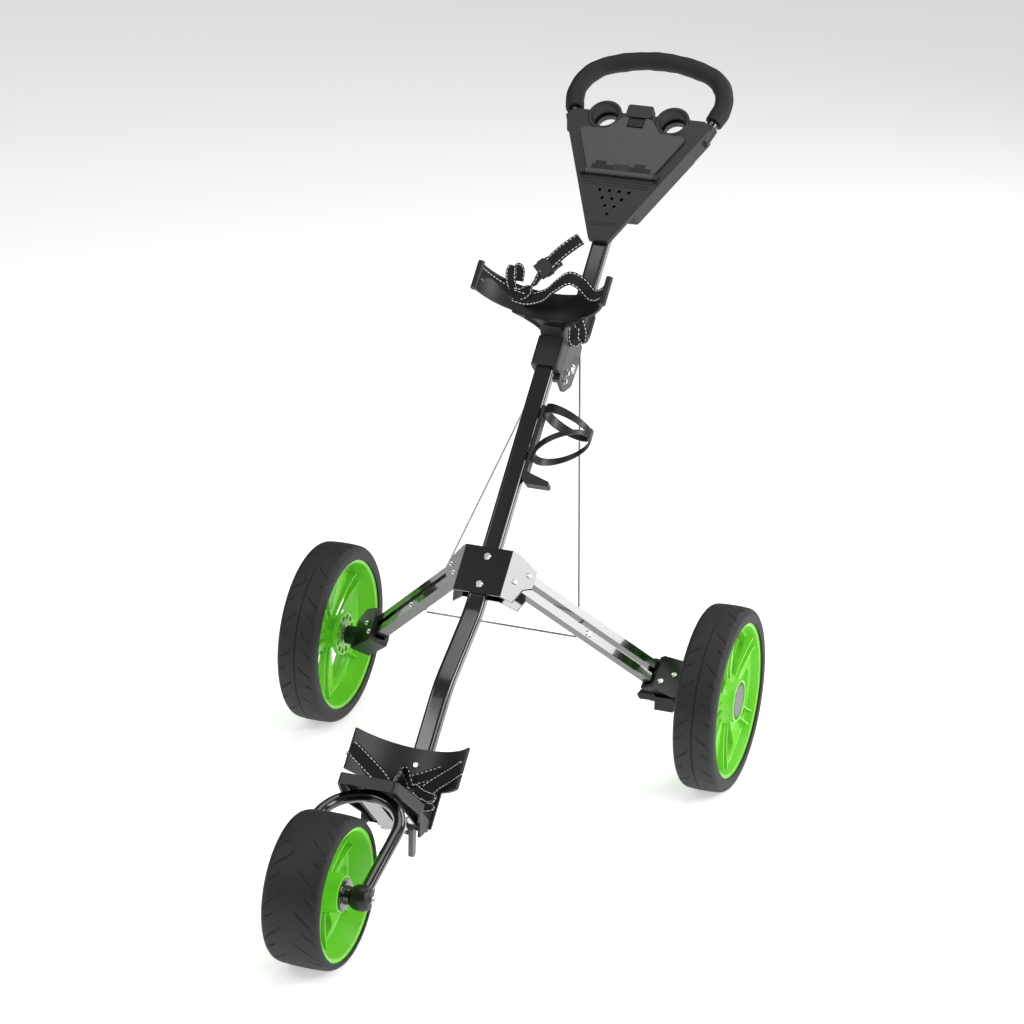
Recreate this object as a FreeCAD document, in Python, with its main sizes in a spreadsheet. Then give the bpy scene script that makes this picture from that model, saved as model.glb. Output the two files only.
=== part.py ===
import FreeCAD, Part
import math
import os

import Sketcher

V = FreeCAD.Vector
Rotation = FreeCAD.Rotation
Placement = FreeCAD.Placement

# Driving dimensions in millimetres and degrees. Stations run up the main tube from the hub; heights run
# square to it, towards the bag. The origin is on the ground under the middle of the trolley.
DIMENSIONS = {
    "axle_back": 136.5, "track": 655.0,
    "rear_radius": 145.0, "rear_width": 65.0, "rear_seat": 122.0,
    "front_radius": 107.0, "front_width": 85.0, "front_seat": 94.0,
    "front_reach": 775.0, "axle_radius": 6.0, "bearing_radius": 14.0, "bearing_width": 8.0,
    "hub_forward": 172.0, "hub_level": 359.0, "tube_slope": 46.5,
    "tube_width": 30.0, "tube_depth": 20.0, "tube_wall": 1.8, "tube_corner": 6.0,
    "tube_top": 400.0, "tube_foot": 395.0, "tube_rise": 34.0, "tube_centre": 2.0,
    "plate_gauge": 2.5, "plate_half": 38.0, "wing_turn": 49.1, "wing_length": 50.0,
    "bar_length": 295.0, "bar_width": 13.0, "bar_depth": 18.0, "bar_droop": 7.4,
    "pin_radius": 3.0, "fit_gap": 0.05, "bolt_head": 6.0, "head_height": 3.6,
    "shaft_width": 28.0, "shaft_depth": 20.0, "shaft_drop": 84.0, "shaft_foot": 440.0, "shaft_top": 685.0,
    "hinge_station": 385.0, "hinge_drop": 62.0, "hinge_pin": 5.0,
    "console_slope": 41.5, "console_depth": 38.0,
    "skin": 3.0, "cup_outer": 28.5, "cup_bore": 22.6, "cup_depth": 27.0, "tee_radius": 3.2,
    "grip_radius": 15.5, "handlebar_radius": 9.5, "loop_level": -19.5,
    "fork_radius": 9.0, "fork_half": 62.0, "fork_slope": 19.6, "fork_leg": 127.0, "fork_pin": 5.0,
    "strap_gauge": 2.0, "strap_width": 24.0, "wire_radius": 1.5, "lid_pin": 1.5,
    "brake_pin": 4.0, "rivet_radius": 2.0,
}

doc = FreeCAD.newDocument("GolfTrolley")
sheet = doc.addObject("Spreadsheet::Sheet", "Dimensions")
for row, (alias, value) in enumerate(DIMENSIONS.items(), start=1):
    sheet.set(f"A{row}", alias)
    sheet.set(f"B{row}", str(value))
    sheet.setAlias(f"B{row}", alias)
doc.recompute()
NODES = []


def size(alias):
    """Value of one driving dimension."""
    return float(sheet.get(alias))


# ---- Shared places -------------------------------------------------------------------------------

AXLE_Y = size("axle_back")
SLOPE = size("tube_slope")
WING = size("wing_turn")
DROOP = size("bar_droop")
HUB = V(0, AXLE_Y - size("hub_forward"), size("hub_level"))
FRAME = Placement(HUB, Rotation(V(1, 0, 0), SLOPE))
CONSOLE = Placement(V(0, AXLE_Y + 300, 763), Rotation(V(1, 0, 0), size("console_slope")))
FRONT_AXLE = V(0, AXLE_Y - size("front_reach"), size("front_radius"))
FORK = Placement(FRONT_AXLE, Rotation(V(1, 0, 0), size("fork_slope")))
FORK_PIN_STATION = -430.0
FORK_PIN_HEIGHT = 66.0
LATCH_PIVOT = (-425, 47)
SIDES = {"right": 1, "left": -1}

TUBE_FRONT = size("tube_depth") / 2 - size("tube_centre")
TUBE_BACK = -size("tube_depth") / 2 - size("tube_centre")
LOW_CENTRE = size("tube_rise") - size("tube_centre")
LOW_FRONT = LOW_CENTRE + size("tube_depth") / 2
GAUGE = size("plate_gauge")
GAP = size("fit_gap")
# Distances along the wing normal: the arm bars lie between the front and back wings.
WING_FACE = (size("plate_half") * math.sin(math.radians(WING))
             + (TUBE_FRONT + GAUGE) * math.cos(math.radians(WING)))
BAR_FACE = WING_FACE - GAUGE - 0.3
BAR_MIDDLE = BAR_FACE - size("bar_depth") / 2
BACK_WING_FACE = BAR_FACE - size("bar_depth") - 0.3
# Hub pivots as (distance out along the wing, station).
PIVOTS = {"upper": (54.8, 13.0), "lower": (33.3, -6.5)}
BOLT_STATIONS = (-23.0, 23.0)
# Brake pin's place from the rear axle line (back, up).
BRAKE_PIN = (-26.0, -9.0)
# Distance from the lower bar's hub pivot to the bolt that the wires end at.
WIRE_BOLT_REACH = 152.0


def wing_place(side):
    """Frame of one wing: x across it, y up the tube, z its outward normal."""
    return FRAME.multiply(Placement(V(0, 0, 0), Rotation(V(0, 1, 0), side * WING)))


def bar_place(side, pivot):
    """Frame of one arm bar at its hub pivot."""
    out, station = PIVOTS[pivot]
    turn = Rotation(V(0, 0, 1), -side * DROOP)
    return wing_place(side).multiply(Placement(V(side * out, station, BAR_MIDDLE), turn))


def bar_end(pivot):
    """Outer pivot of a bar as (distance out along the wing, station)."""
    out, station = PIVOTS[pivot]
    reach = size("bar_length")
    droop = math.radians(DROOP)
    return out + reach * math.cos(droop), station - reach * math.sin(droop)


# ---- Sketch and feature helpers ------------------------------------------------------------------

def keep(obj, label):
    """Name a finished sub-part and list it for export."""
    obj.Label = label
    NODES.append(obj)
    return obj


def new_body(name, place=Placement()):
    body = doc.addObject("PartDesign::Body", name)
    body.Placement = place
    return body


def new_sketch(body, plane, name, offset=0.0):
    """Sketch on one of the body's own origin planes, moved along that plane's normal."""
    sketch = body.newObject("Sketcher::SketchObject", name)
    base = next(item for item in body.Origin.OriginFeatures if item.Role == plane)
    sketch.AttachmentSupport = [(base, "")]
    sketch.MapMode = "FlatFace"
    sketch.AttachmentOffset = Placement(V(0, 0, offset), Rotation())
    return sketch


def rounded_edges(points, closed):
    """Straight edges and tangent arcs through corner points given as (x, y, radius)."""
    count = len(points)
    corners = []
    for index, (x, y, radius) in enumerate(points):
        here = V(x, y, 0)
        if radius == 0 or (not closed and index in (0, count - 1)):
            corners.append((here, here, None))
            continue
        before = V(*points[index - 1][:2], 0) - here
        after = V(*points[(index + 1) % count][:2], 0) - here
        before.normalize()
        after.normalize()
        half = before.getAngle(after) / 2
        setback = radius / math.tan(half)
        middle = before + after
        middle.normalize()
        centre = here + middle * (radius / math.sin(half))
        corners.append((here + before * setback, here + after * setback, centre - middle * radius))
    edges = []
    last = count if closed else count - 1
    for index in range(count):
        start, end, middle = corners[index]
        if middle is not None:
            edges.append(Part.Arc(start, middle, end))
        if index < last:
            follower = corners[(index + 1) % count][0]
            if end.distanceToPoint(follower) > 1e-4:
                edges.append(Part.LineSegment(end, follower))
    return edges


def outline(sketch, points, closed=True):
    """Draw an outline with rounded corners."""
    for edge in rounded_edges([(*p, 0)[:3] for p in points], closed):
        sketch.addGeometry(edge, False)
    return sketch


def circle(sketch, x, y, expression):
    """Draw a circle whose radius is bound to the sheet."""
    index = sketch.addGeometry(Part.Circle(V(x, y, 0), V(0, 0, 1), 1.0), False)
    constraint = sketch.addConstraint(Sketcher.Constraint("Radius", index, 1.0))
    sketch.setExpression(f"Constraints[{constraint}]", expression)
    return sketch


def rectangle_points(width, height, x=0.0, y=0.0, radius=0.0):
    half, rise = width / 2, height / 2
    return [(x - half, y - rise, radius), (x + half, y - rise, radius),
            (x + half, y + rise, radius), (x - half, y + rise, radius)]


def pad(body, sketch, length, midplane=False, reverse=False):
    """Pad a sketch; the length is a number or an expression on the sheet."""
    feature = body.newObject("PartDesign::Pad", "Pad")
    feature.Profile = sketch
    feature.SideType = "Symmetric" if midplane else "One side"
    feature.Reversed = reverse
    bind(feature, "Length", length)
    return feature


def pocket(body, sketch, length, midplane=False, reverse=False):
    feature = body.newObject("PartDesign::Pocket", "Pocket")
    feature.Profile = sketch
    feature.SideType = "Symmetric" if midplane else "One side"
    feature.Reversed = reverse
    bind(feature, "Length", length)
    return feature


def bind(feature, field, value):
    """Set a size, through the sheet when it is given as an expression."""
    if isinstance(value, str):
        feature.setExpression(field, value)
    else:
        setattr(feature, field, value)


def pipe(body, profile, spine, cut=False):
    kind = "PartDesign::SubtractivePipe" if cut else "PartDesign::AdditivePipe"
    feature = body.newObject(kind, "Pipe")
    feature.Profile = profile
    feature.Spine = (spine, [])
    return feature


def cylinder(name, radius, height, place):
    """Cylinder along the local z axis from the placement's origin."""
    solid = doc.addObject("Part::Cylinder", name)
    bind(solid, "Radius", radius)
    bind(solid, "Height", height)
    solid.Placement = place
    return solid


def block(name, low, high, place=Placement()):
    """Box between two corners of a local frame."""
    solid = doc.addObject("Part::Box", name)
    solid.Length, solid.Width, solid.Height = (high[0] - low[0], high[1] - low[1], high[2] - low[2])
    solid.Placement = place.multiply(Placement(V(*low), Rotation()))
    return solid


def fuse(name, shapes):
    """Join shapes one after another."""
    joined = shapes[0]
    for shape in shapes[1:]:
        pair = doc.addObject("Part::Fuse", name)
        pair.Base, pair.Tool = joined, shape
        joined = pair
    return joined


def cut(name, base, tools):
    """Base less one or more tools."""
    result = doc.addObject("Part::Cut", name)
    result.Base = base
    result.Tool = tools[0] if len(tools) == 1 else fuse(name + "Tools", tools)
    return result


def group(name, shapes):
    """Several separate solids in one node."""
    compound = doc.addObject("Part::Compound", name)
    compound.Links = shapes
    return compound


def bolt(name, place, grip, radius="Dimensions.pin_radius", nut=True, head=1.0):
    """Bolt whose head stands on the local z = 0 plane, with a hex nut below the grip."""
    nut_height = 4.0 if nut else 0.0
    shank = cylinder(name + "Shank", radius, grip + nut_height, place.multiply(
        Placement(V(0, 0, -grip - nut_height), Rotation())))
    dome = doc.addObject("Part::Cone", name + "Head")
    bind(dome, "Radius1", f"Dimensions.bolt_head * {head}")
    bind(dome, "Radius2", f"Dimensions.bolt_head * {head * 0.6}")
    bind(dome, "Height", "Dimensions.head_height")
    dome.Placement = place
    parts = [shank, dome]
    if nut:
        hexagon = doc.addObject("Part::Prism", name + "Nut")
        hexagon.Polygon = 6
        bind(hexagon, "Circumradius", f"Dimensions.bolt_head * {head}")
        hexagon.Height = nut_height
        hexagon.Placement = place.multiply(Placement(V(0, 0, -grip - nut_height), Rotation()))
        parts.append(hexagon)
    return fuse(name, parts)


def along_x(point):
    """Placement at a point with local z along +X."""
    return Placement(V(*point), Rotation(V(0, 1, 0), 90))


def along_y(point):
    """Placement at a point with local z along +Y."""
    return Placement(V(*point), Rotation(V(1, 0, 0), -90))


# ---- Frame ---------------------------------------------------------------------------------------

def main_tube():
    """Box-section tube that steps towards the bag below the hub."""
    body = new_body("MainTube", FRAME)
    foot, top = -size("tube_foot"), size("tube_top")
    spine = new_sketch(body, "YZ_Plane", "TubeLine")
    outline(spine, [(foot, LOW_CENTRE), (-200, LOW_CENTRE, 180), (-66, -size("tube_centre"), 180),
                    (top, -size("tube_centre"))], closed=False)
    profile = new_sketch(body, "XZ_Plane", "TubeSection", -foot)
    width, depth = size("tube_width"), size("tube_depth")
    corner, wall = size("tube_corner"), size("tube_wall")
    outline(profile, rectangle_points(width, depth, 0, LOW_CENTRE, corner))
    pipe(body, profile, spine)
    bore = new_sketch(body, "XZ_Plane", "TubeBore", -foot)
    outline(bore, rectangle_points(width - 2 * wall, depth - 2 * wall, 0, LOW_CENTRE, corner - wall))
    pipe(body, bore, spine, cut=True)
    holes = new_sketch(body, "XY_Plane", "BoltHoles")
    for station in BOLT_STATIONS:
        circle(holes, 0, station, "Dimensions.pin_radius")
    pocket(body, holes, 60, midplane=True)
    return keep(body, "main_tube")


# Waste cut from the plates' corners above and below each wing.
ABOVE_WING = [(44, 50), (44, 39), (76, 22), (90, 22), (90, 50)]
BELOW_WING = [(50, -50), (52, -39), (60, -12), (76, 2), (90, 2), (90, -50)]


def bent_plate(name, half, front):
    """Flat plate with two wings bent back, its front face at the given height."""
    body = new_body(name, FRAME)
    turn = math.radians(WING)
    reach = size("wing_length")
    out = V(math.cos(turn), -math.sin(turn), 0)
    inward = V(-math.sin(turn), -math.cos(turn), 0)
    fold = V(half, front, 0)
    inner_fold = V(half - GAUGE * math.tan(turn / 2), front - GAUGE, 0)
    tip = fold + out * reach
    inner_tip = tip + inward * GAUGE
    right = [fold, tip, inner_tip, inner_fold]
    points = [(p.x, p.y) for p in right] + [(-p.x, p.y) for p in reversed(right)]
    profile = new_sketch(body, "XZ_Plane", "BentSection")
    outline(profile, points)
    pad(body, profile, "Dimensions.plate_half * 2", midplane=True)
    for side in (1, -1):
        for waste in (ABOVE_WING, BELOW_WING):
            corner = new_sketch(body, "XY_Plane", "WingCorner")
            outline(corner, [(side * x, y) for x, y in waste])
            pocket(body, corner, 200, midplane=True)
    return body


def hub_plates():
    """The two steel plates that hold the arm bars between their wings."""
    drills = [cylinder(f"{name}Drill{side}", "Dimensions.pin_radius", 60,
                       wing_place(sign).multiply(Placement(V(sign * out, station, 0), Rotation())))
              for side, sign in SIDES.items() for name, (out, station) in PIVOTS.items()]
    drills += [cylinder(f"PlateDrill{index}", "Dimensions.pin_radius", 80,
                        FRAME.multiply(Placement(V(0, station, -40), Rotation())))
               for index, station in enumerate(BOLT_STATIONS)]
    front = bent_plate("FrontPlate", size("plate_half"), TUBE_FRONT + GAUGE)
    keep(cut("HubFrontPlate", front, drills[:]), "hub_front_plate")
    turn = math.radians(WING)
    back_fold = (BACK_WING_FACE - math.cos(turn) * TUBE_BACK) / math.sin(turn)
    back = bent_plate("BackPlate", back_fold, TUBE_BACK)
    keep(cut("HubBackPlate", back, drills[:]), "hub_back_plate")


def hub_fasteners():
    """Two bolts through the tube, four pivot bolts and the bushes that the bars turn on."""
    reach = TUBE_FRONT - TUBE_BACK + 2 * GAUGE
    bolts = []
    for index, station in enumerate(BOLT_STATIONS):
        spot = FRAME.multiply(Placement(V(0, station, TUBE_FRONT + GAUGE), Rotation()))
        bolts.append(bolt(f"TubeBolt{index}", spot, reach))
    bushes = []
    for side, sign in SIDES.items():
        for name, (out, station) in PIVOTS.items():
            spot = wing_place(sign).multiply(Placement(V(sign * out, station, WING_FACE), Rotation()))
            grip = WING_FACE - BACK_WING_FACE + GAUGE
            bolts.append(bolt(f"PivotBolt_{name}_{side}", spot, grip, head=0.72))
            length = WING_FACE - GAUGE - BACK_WING_FACE
            seat = spot.multiply(Placement(V(0, 0, -GAUGE - length), Rotation()))
            sleeve = cylinder(f"Sleeve_{name}_{side}", "Dimensions.pin_radius + 1.5", length, seat)
            bore = cylinder(f"SleeveBore_{name}_{side}", "Dimensions.pin_radius", length, seat)
            bushes.append(cut(f"Bush_{name}_{side}", sleeve, [bore]))
    keep(group("PivotBushes", bushes), "pivot_bushes")
    return bolts


def hinge_collar():
    """Sleeve over the top of the main tube."""
    body = new_body("HingeCollar", FRAME)
    sleeve = new_sketch(body, "XZ_Plane", "CollarOutline", -350)
    outline(sleeve, rectangle_points(44, 30, 0, -size("tube_centre"), 5))
    outline(sleeve, rectangle_points(size("tube_width"), size("tube_depth"), 0, -size("tube_centre"),
                                     size("tube_corner")))
    pad(body, sleeve, 50, reverse=True)
    keep(body, "hinge_collar")


def hinge_block():
    """Clevis behind the collar that carries the handle's hinge pin."""
    body = new_body("HingeBlock", FRAME)
    side_view = new_sketch(body, "YZ_Plane", "BlockSide")
    outline(side_view, [(342, -17, 3), (400, -17, 3), (428, -46, 8), (428, -78, 6), (400, -82, 8),
                        (362, -78, 8), (338, -52, 8)])
    pad(body, side_view, 42, midplane=True)
    slot = new_sketch(body, "YZ_Plane", "BlockSlot")
    outline(slot, [(330, -26), (440, -26), (440, -90), (330, -90)])
    pocket(body, slot, 30.4, midplane=True)
    hole = new_sketch(body, "YZ_Plane", "PinHole")
    circle(hole, size("hinge_station"), -size("hinge_drop"), "Dimensions.hinge_pin")
    pocket(body, hole, 60, midplane=True)
    keep(body, "hinge_block")


def hinge_fasteners():
    """Hinge pin through the clevis and the flange bolts on its cheeks."""
    pin = bolt("HingePin", FRAME.multiply(along_x((21, size("hinge_station"), -size("hinge_drop")))), 42,
               "Dimensions.hinge_pin", head=1.3)
    keep(pin, "handle_hinge_pin")
    heads = []
    for side, sign in SIDES.items():
        for station in (366, 352):
            spot = FRAME.multiply(Placement(V(sign * 21, station, -40), Rotation(V(0, 1, 0), sign * 90)))
            head = cylinder(f"FlangeHead_{side}_{station}", 5.5, 1.2, spot)
            hexagon = doc.addObject("Part::Prism", f"FlangeHex_{side}_{station}")
            hexagon.Polygon, hexagon.Circumradius, hexagon.Height = 6, 4.2, 4.4
            hexagon.Placement = spot
            heads.append(fuse(f"FlangeBolt_{side}_{station}", [head, hexagon]))
    return heads


def arc_band(body, name, centre, radius, gauge, half_angle, low, high):
    """Curved plate open towards the bag: inner radius, wall outside it, between two stations."""
    sketch = new_sketch(body, "XZ_Plane", name, -low)
    turn = math.radians(half_angle)

    def at(r, angle):
        return V(r * math.sin(angle), centre - r * math.cos(angle), 0)

    outer = radius + gauge
    sketch.addGeometry(Part.Arc(at(radius, -turn), at(radius, 0), at(radius, turn)), False)
    sketch.addGeometry(Part.LineSegment(at(radius, turn), at(outer, turn)), False)
    sketch.addGeometry(Part.Arc(at(outer, turn), at(outer, 0), at(outer, -turn)), False)
    sketch.addGeometry(Part.LineSegment(at(outer, -turn), at(radius, -turn)), False)
    return pad(body, sketch, high - low, reverse=True)


UPPER_ARC = {"centre": 157.0, "radius": 108.0, "half_angle": 71.0}
LOWER_ARC = {"centre": LOW_FRONT + 105.0, "radius": 101.0, "half_angle": 58.7}


def upper_cradle():
    """Dish for the top of the bag on a neck above the collar."""
    body = new_body("UpperCradle", FRAME)
    arc_band(body, "Dish", UPPER_ARC["centre"], UPPER_ARC["radius"], 4, UPPER_ARC["half_angle"], 412, 456)
    neck = new_sketch(body, "YZ_Plane", "Neck")
    outline(neck, [(400, -17), (400, 13, 3), (414, 46), (446, 46, 3), (440, 16, 12), (424, -17, 4)])
    pad(body, neck, 36, midplane=True)
    flare = new_sketch(body, "XZ_Plane", "Flare", -408)
    outline(flare, [(-18, 12), (18, 12), (24, 30, 16), (56, 63), (26, 50.5), (0, 47), (-26, 50.5), (-56, 63),
                    (-24, 30, 16)])
    pad(body, flare, 26, reverse=True)
    posts = new_sketch(body, "XZ_Plane", "EndPosts", -411)
    for x in (-104, 104):
        circle(posts, x, 121, "Dimensions.skin * 1.8")
    pad(body, posts, 47, reverse=True)
    keep(body, "upper_cradle")


def webbing(name, arc, low, label, half_angle):
    """Webbing strap that lies in a cradle."""
    body = new_body(name, FRAME)
    gauge = size("strap_gauge")
    arc_band(body, "Band", arc["centre"], arc["radius"] - gauge - 0.3, gauge, half_angle, low,
             low + size("strap_width"))
    keep(body, label)


def strap_buckle():
    """Side-release buckle at the middle of the upper strap."""
    low = UPPER_ARC["centre"] - UPPER_ARC["radius"] + size("strap_gauge") + 6.5
    male = block("BuckleMale", (-30, 420, low), (-0.2, 448, low + 9), FRAME)
    female = block("BuckleFemale", (0.2, 418, low), (34, 450, low + 10), FRAME)
    keep(group("StrapBuckle", [male, female]), "strap_buckle")


def lower_cradle():
    """Curved back rest for the bottom of the bag, with a tail that carries the ledge."""
    body = new_body("LowerCradle", FRAME)
    arc_band(body, "Rest", LOWER_ARC["centre"], LOWER_ARC["radius"], 4, LOWER_ARC["half_angle"], -370, -306)
    tail = new_sketch(body, "XY_Plane", "Tail", LOW_FRONT)
    outline(tail, [(-49, -426, 3), (-28, -408), (28, -408), (49, -426, 3), (49, -362), (-49, -362)])
    pad(body, tail, 4)
    holes = new_sketch(body, "XY_Plane", "BoltHole")
    circle(holes, 0, -332, "Dimensions.pin_radius")
    pocket(body, holes, 200, midplane=True)
    keep(cut("LowerCradleCut", body, [hinge_room("CradleRoom")]), "lower_cradle")


def hinge_room(name):
    """Room for the fork hinge and its latch between the ledge's sides."""
    return block(name, (-27, -440, 38), (27, -401, 84), FRAME)


def mirrored(points):
    """Closed outline from its right half, listed from the root outwards."""
    return [(-p[0],) + p[1:] for p in points] + points[::-1]


def foot_ledge():
    """Half-hexagonal shelf that the bag stands on, with a skirt and ribs below."""
    body = new_body("FootLedge", FRAME)
    root = LOW_FRONT + 4
    plan = mirrored([(46, root), (46, 88, 6), (60, 128, 10), (44, 212, 8)])
    inset = mirrored([(42.8, root + 4), (42.8, 89, 4), (56.8, 128.5, 8), (41.4, 208.8, 5)])
    shelf = new_sketch(body, "XZ_Plane", "Shelf", 428)
    outline(shelf, plan)
    pad(body, shelf, 16, reverse=True)
    hollow = new_sketch(body, "XZ_Plane", "Hollow", 429)
    outline(hollow, inset)
    pocket(body, hollow, 13, reverse=False)
    back = new_sketch(body, "XY_Plane", "Flange", root)
    outline(back, [(-44, -416), (44, -416), (44, -384, 6), (-44, -384, 6)])
    pad(body, back, 4)
    ribs = new_sketch(body, "XZ_Plane", "Ribs", 427)
    for x in (-34, 34):
        outline(ribs, rectangle_points(2.6, 156, x, 131))
    pad(body, ribs, 13, reverse=True)
    for x in (-46, 43):
        fin = new_sketch(body, "YZ_Plane", "Fin", x)
        outline(fin, [(-414, 52), (-414, 84), (-427, 86), (-446, 72, 3), (-430, 54, 4)])
        pad(body, fin, 3)
    keep(cut("FootLedgeCut", body, [hinge_room("LedgeRoom")]), "foot_ledge")


def cradle_bolts():
    """Bolt through the rest into the tube."""
    spot = FRAME.multiply(Placement(V(0, -332, LOW_FRONT + 4.3), Rotation()))
    return [bolt("CradleBolt", spot, 4.3, nut=False)]


CAGE_X = 60.0
CAGE_STATION = 246.0


def bottle_holder():
    """Rail on the tube's right side with a foot, and a ring that goes round the bottle."""
    rail = new_body("BottleRail", FRAME)
    centre = -size("tube_centre")
    face = size("tube_width") / 2
    side_view = new_sketch(rail, "XY_Plane", "RailSide", centre - 8)
    outline(side_view, [(face, 160), (face, 286, 2), (face + 6, 286, 2), (face + 6, 172, 3),
                        (CAGE_X, 160, 3), (CAGE_X, 152, 3), (face + 8, 152, 4)])
    pad(rail, side_view, 16)
    keep(rail, "bottle_rail")
    cage = new_body("BottleCage", FRAME)
    ring = new_sketch(cage, "XZ_Plane", "Ring", -CAGE_STATION)
    for radius in (40.5, 37.5):
        ring.addGeometry(Part.Circle(V(CAGE_X + 1.5, centre, 0), V(0, 0, 1), radius), False)
    pad(cage, ring, 18, reverse=True)
    keep(cage, "bottle_cage")


def fork_hinge():
    """Two cheek plates at the foot of the tube, their bolts and the latch lever."""
    plates = []
    for side, sign in SIDES.items():
        body = new_body(f"ForkPlate_{side}", FRAME)
        view = new_sketch(body, "YZ_Plane", "PlateSide", sign * (size("tube_width") / 2 + 1.6))
        outline(view, [(-376, 23, 4), (-376, 40, 4), (-402, 41, 8), (-424, 77.5, 11), (-443, 72, 11),
                       (-436, 44, 12), (-404, 23, 6)])
        circle(view, FORK_PIN_STATION, FORK_PIN_HEIGHT, "Dimensions.fork_pin")
        circle(view, -386, LOW_CENTRE, "Dimensions.pin_radius")
        pad(body, view, 3.2, midplane=True)
        plates.append(body)
    keep(group("ForkHingePlates", plates), "fork_hinge_plates")
    outer = size("tube_width") / 2 + 3.2
    pin = bolt("ForkPin", FRAME.multiply(along_x((outer, FORK_PIN_STATION, FORK_PIN_HEIGHT))), 2 * outer,
               "Dimensions.fork_pin", head=1.4)
    shank = cylinder("RivetShank", "Dimensions.rivet_radius", 8.4,
                     FRAME.multiply(along_x((outer, *LATCH_PIVOT))))
    head = cylinder("RivetHead", 3.4, 0.8, FRAME.multiply(along_x((outer + 7.7, *LATCH_PIVOT))))
    keep(group("ForkPins", [pin, fuse("LatchRivet", [shank, head])]), "fork_hinge_pin")
    lever = new_body("ForkLatch", FRAME)
    view = new_sketch(lever, "YZ_Plane", "LeverSide", outer + 0.3)
    outline(view, [(-420, 42, 3), (-420, 52, 4), (-430, 52, 4), (-462, 20, 4), (-454, 12, 4)])
    circle(view, *LATCH_PIVOT, "Dimensions.rivet_radius + Dimensions.fit_gap")
    pad(lever, view, 7)
    keep(lever, "fork_latch_lever")


# ---- Handle --------------------------------------------------------------------------------------

def handle_shoe():
    """Tongue in the clevis with a plug that the shaft slides over."""
    body = new_body("HandleShoe", FRAME)
    drop = size("shaft_drop")
    half = size("shaft_depth") / 2
    foot = size("shaft_foot")
    view = new_sketch(body, "YZ_Plane", "ShoeSide")
    outline(view, [(372, -49, 10), (402, -49, 12), (foot, -drop + half), (foot, -drop - half),
                   (408, -drop - half, 14), (372, -76, 12)])
    circle(view, size("hinge_station"), -size("hinge_drop"), "Dimensions.hinge_pin + Dimensions.fit_gap")
    pad(body, view, 29, midplane=True)
    keep(body, "handle_shoe")


def upper_shaft():
    body = new_body("UpperShaft", FRAME)
    section = new_sketch(body, "XZ_Plane", "ShaftSection", -size("shaft_foot"))
    width, depth, wall = size("shaft_width"), size("shaft_depth"), size("tube_wall")
    outline(section, rectangle_points(width, depth, 0, -size("shaft_drop"), 5))
    outline(section, rectangle_points(width - 2 * wall, depth - 2 * wall, 0, -size("shaft_drop"), 5 - wall))
    pad(body, section, "Dimensions.shaft_top - Dimensions.shaft_foot", reverse=True)
    keep(body, "upper_shaft")


def twist_lock():
    """Ribbed collar that turns round the foot of the shaft."""
    place = FRAME.multiply(along_y((0, 452, -size("shaft_drop"))))
    sleeve = cylinder("LockSleeve", 23.5, 46, place)
    bore = cylinder("LockBore", 15.6, 46, place)
    keep(cut("TwistLock", sleeve, [bore]), "twist_lock_collar")


CONSOLE_PLAN = [(-17, 0, 4), (17, 0, 4), (124, 236, 5), (112, 250, 6), (-112, 250, 6), (-124, 236, 5)]
BOX_PLAN = [(-41, 62, 3), (41, 62, 3), (120, 234, 6), (108, 247, 6), (-108, 247, 6), (-120, 234, 6)]
LID_PLAN = [(-56, 132, 5), (56, 132, 5), (92, 212, 7), (46, 214, 12), (24, 240, 10), (-24, 240, 10),
            (-46, 214, 12), (-92, 212, 7)]
OPENING_PLAN = [(-50, 138, 4), (50, 138, 4), (80, 205, 5), (-80, 205, 5)]
CUP_X = 58.0
CUP_Y = 243.0


def shrink(points, margin):
    """Outline moved inwards towards its middle by about the margin."""
    middle_x = sum(p[0] for p in points) / len(points)
    middle_y = sum(p[1] for p in points) / len(points)
    result = []
    for x, y, radius in points:
        step_x = margin if x < middle_x else -margin
        step_y = margin if y < middle_y else -margin
        result.append((x + step_x, y + step_y, max(radius - margin, 0)))
    return result


# The handlebar's loop lies in a plane below the console's top. It has straight legs that spread, round
# corners and a bowed crown. Each point is (half width, distance up the console, corner radius).
LOOP_FOOT = (113.0, 238.0)
LOOP_CORNER = (141.0, 337.0, 66.0)
LOOP_CROWN = (0.0, 388.0, 220.0)


def leg_half(distance):
    """Half width between the loop's legs at a distance up the console."""
    share = (distance - LOOP_FOOT[1]) / (LOOP_CORNER[1] - LOOP_FOOT[1])
    return LOOP_FOOT[0] + share * (LOOP_CORNER[0] - LOOP_FOOT[0])


def leg_place(sign, distance):
    """Place on one of the loop's legs, with its z axis along the leg."""
    lean = math.degrees(math.atan2(LOOP_CORNER[0] - LOOP_FOOT[0], LOOP_CORNER[1] - LOOP_FOOT[1]))
    spot = Placement(V(sign * leg_half(distance), distance, size("loop_level")),
                     Rotation(V(0, 0, 1), -sign * lean))
    return CONSOLE.multiply(spot).multiply(along_y((0, 0, 0)))


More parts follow.
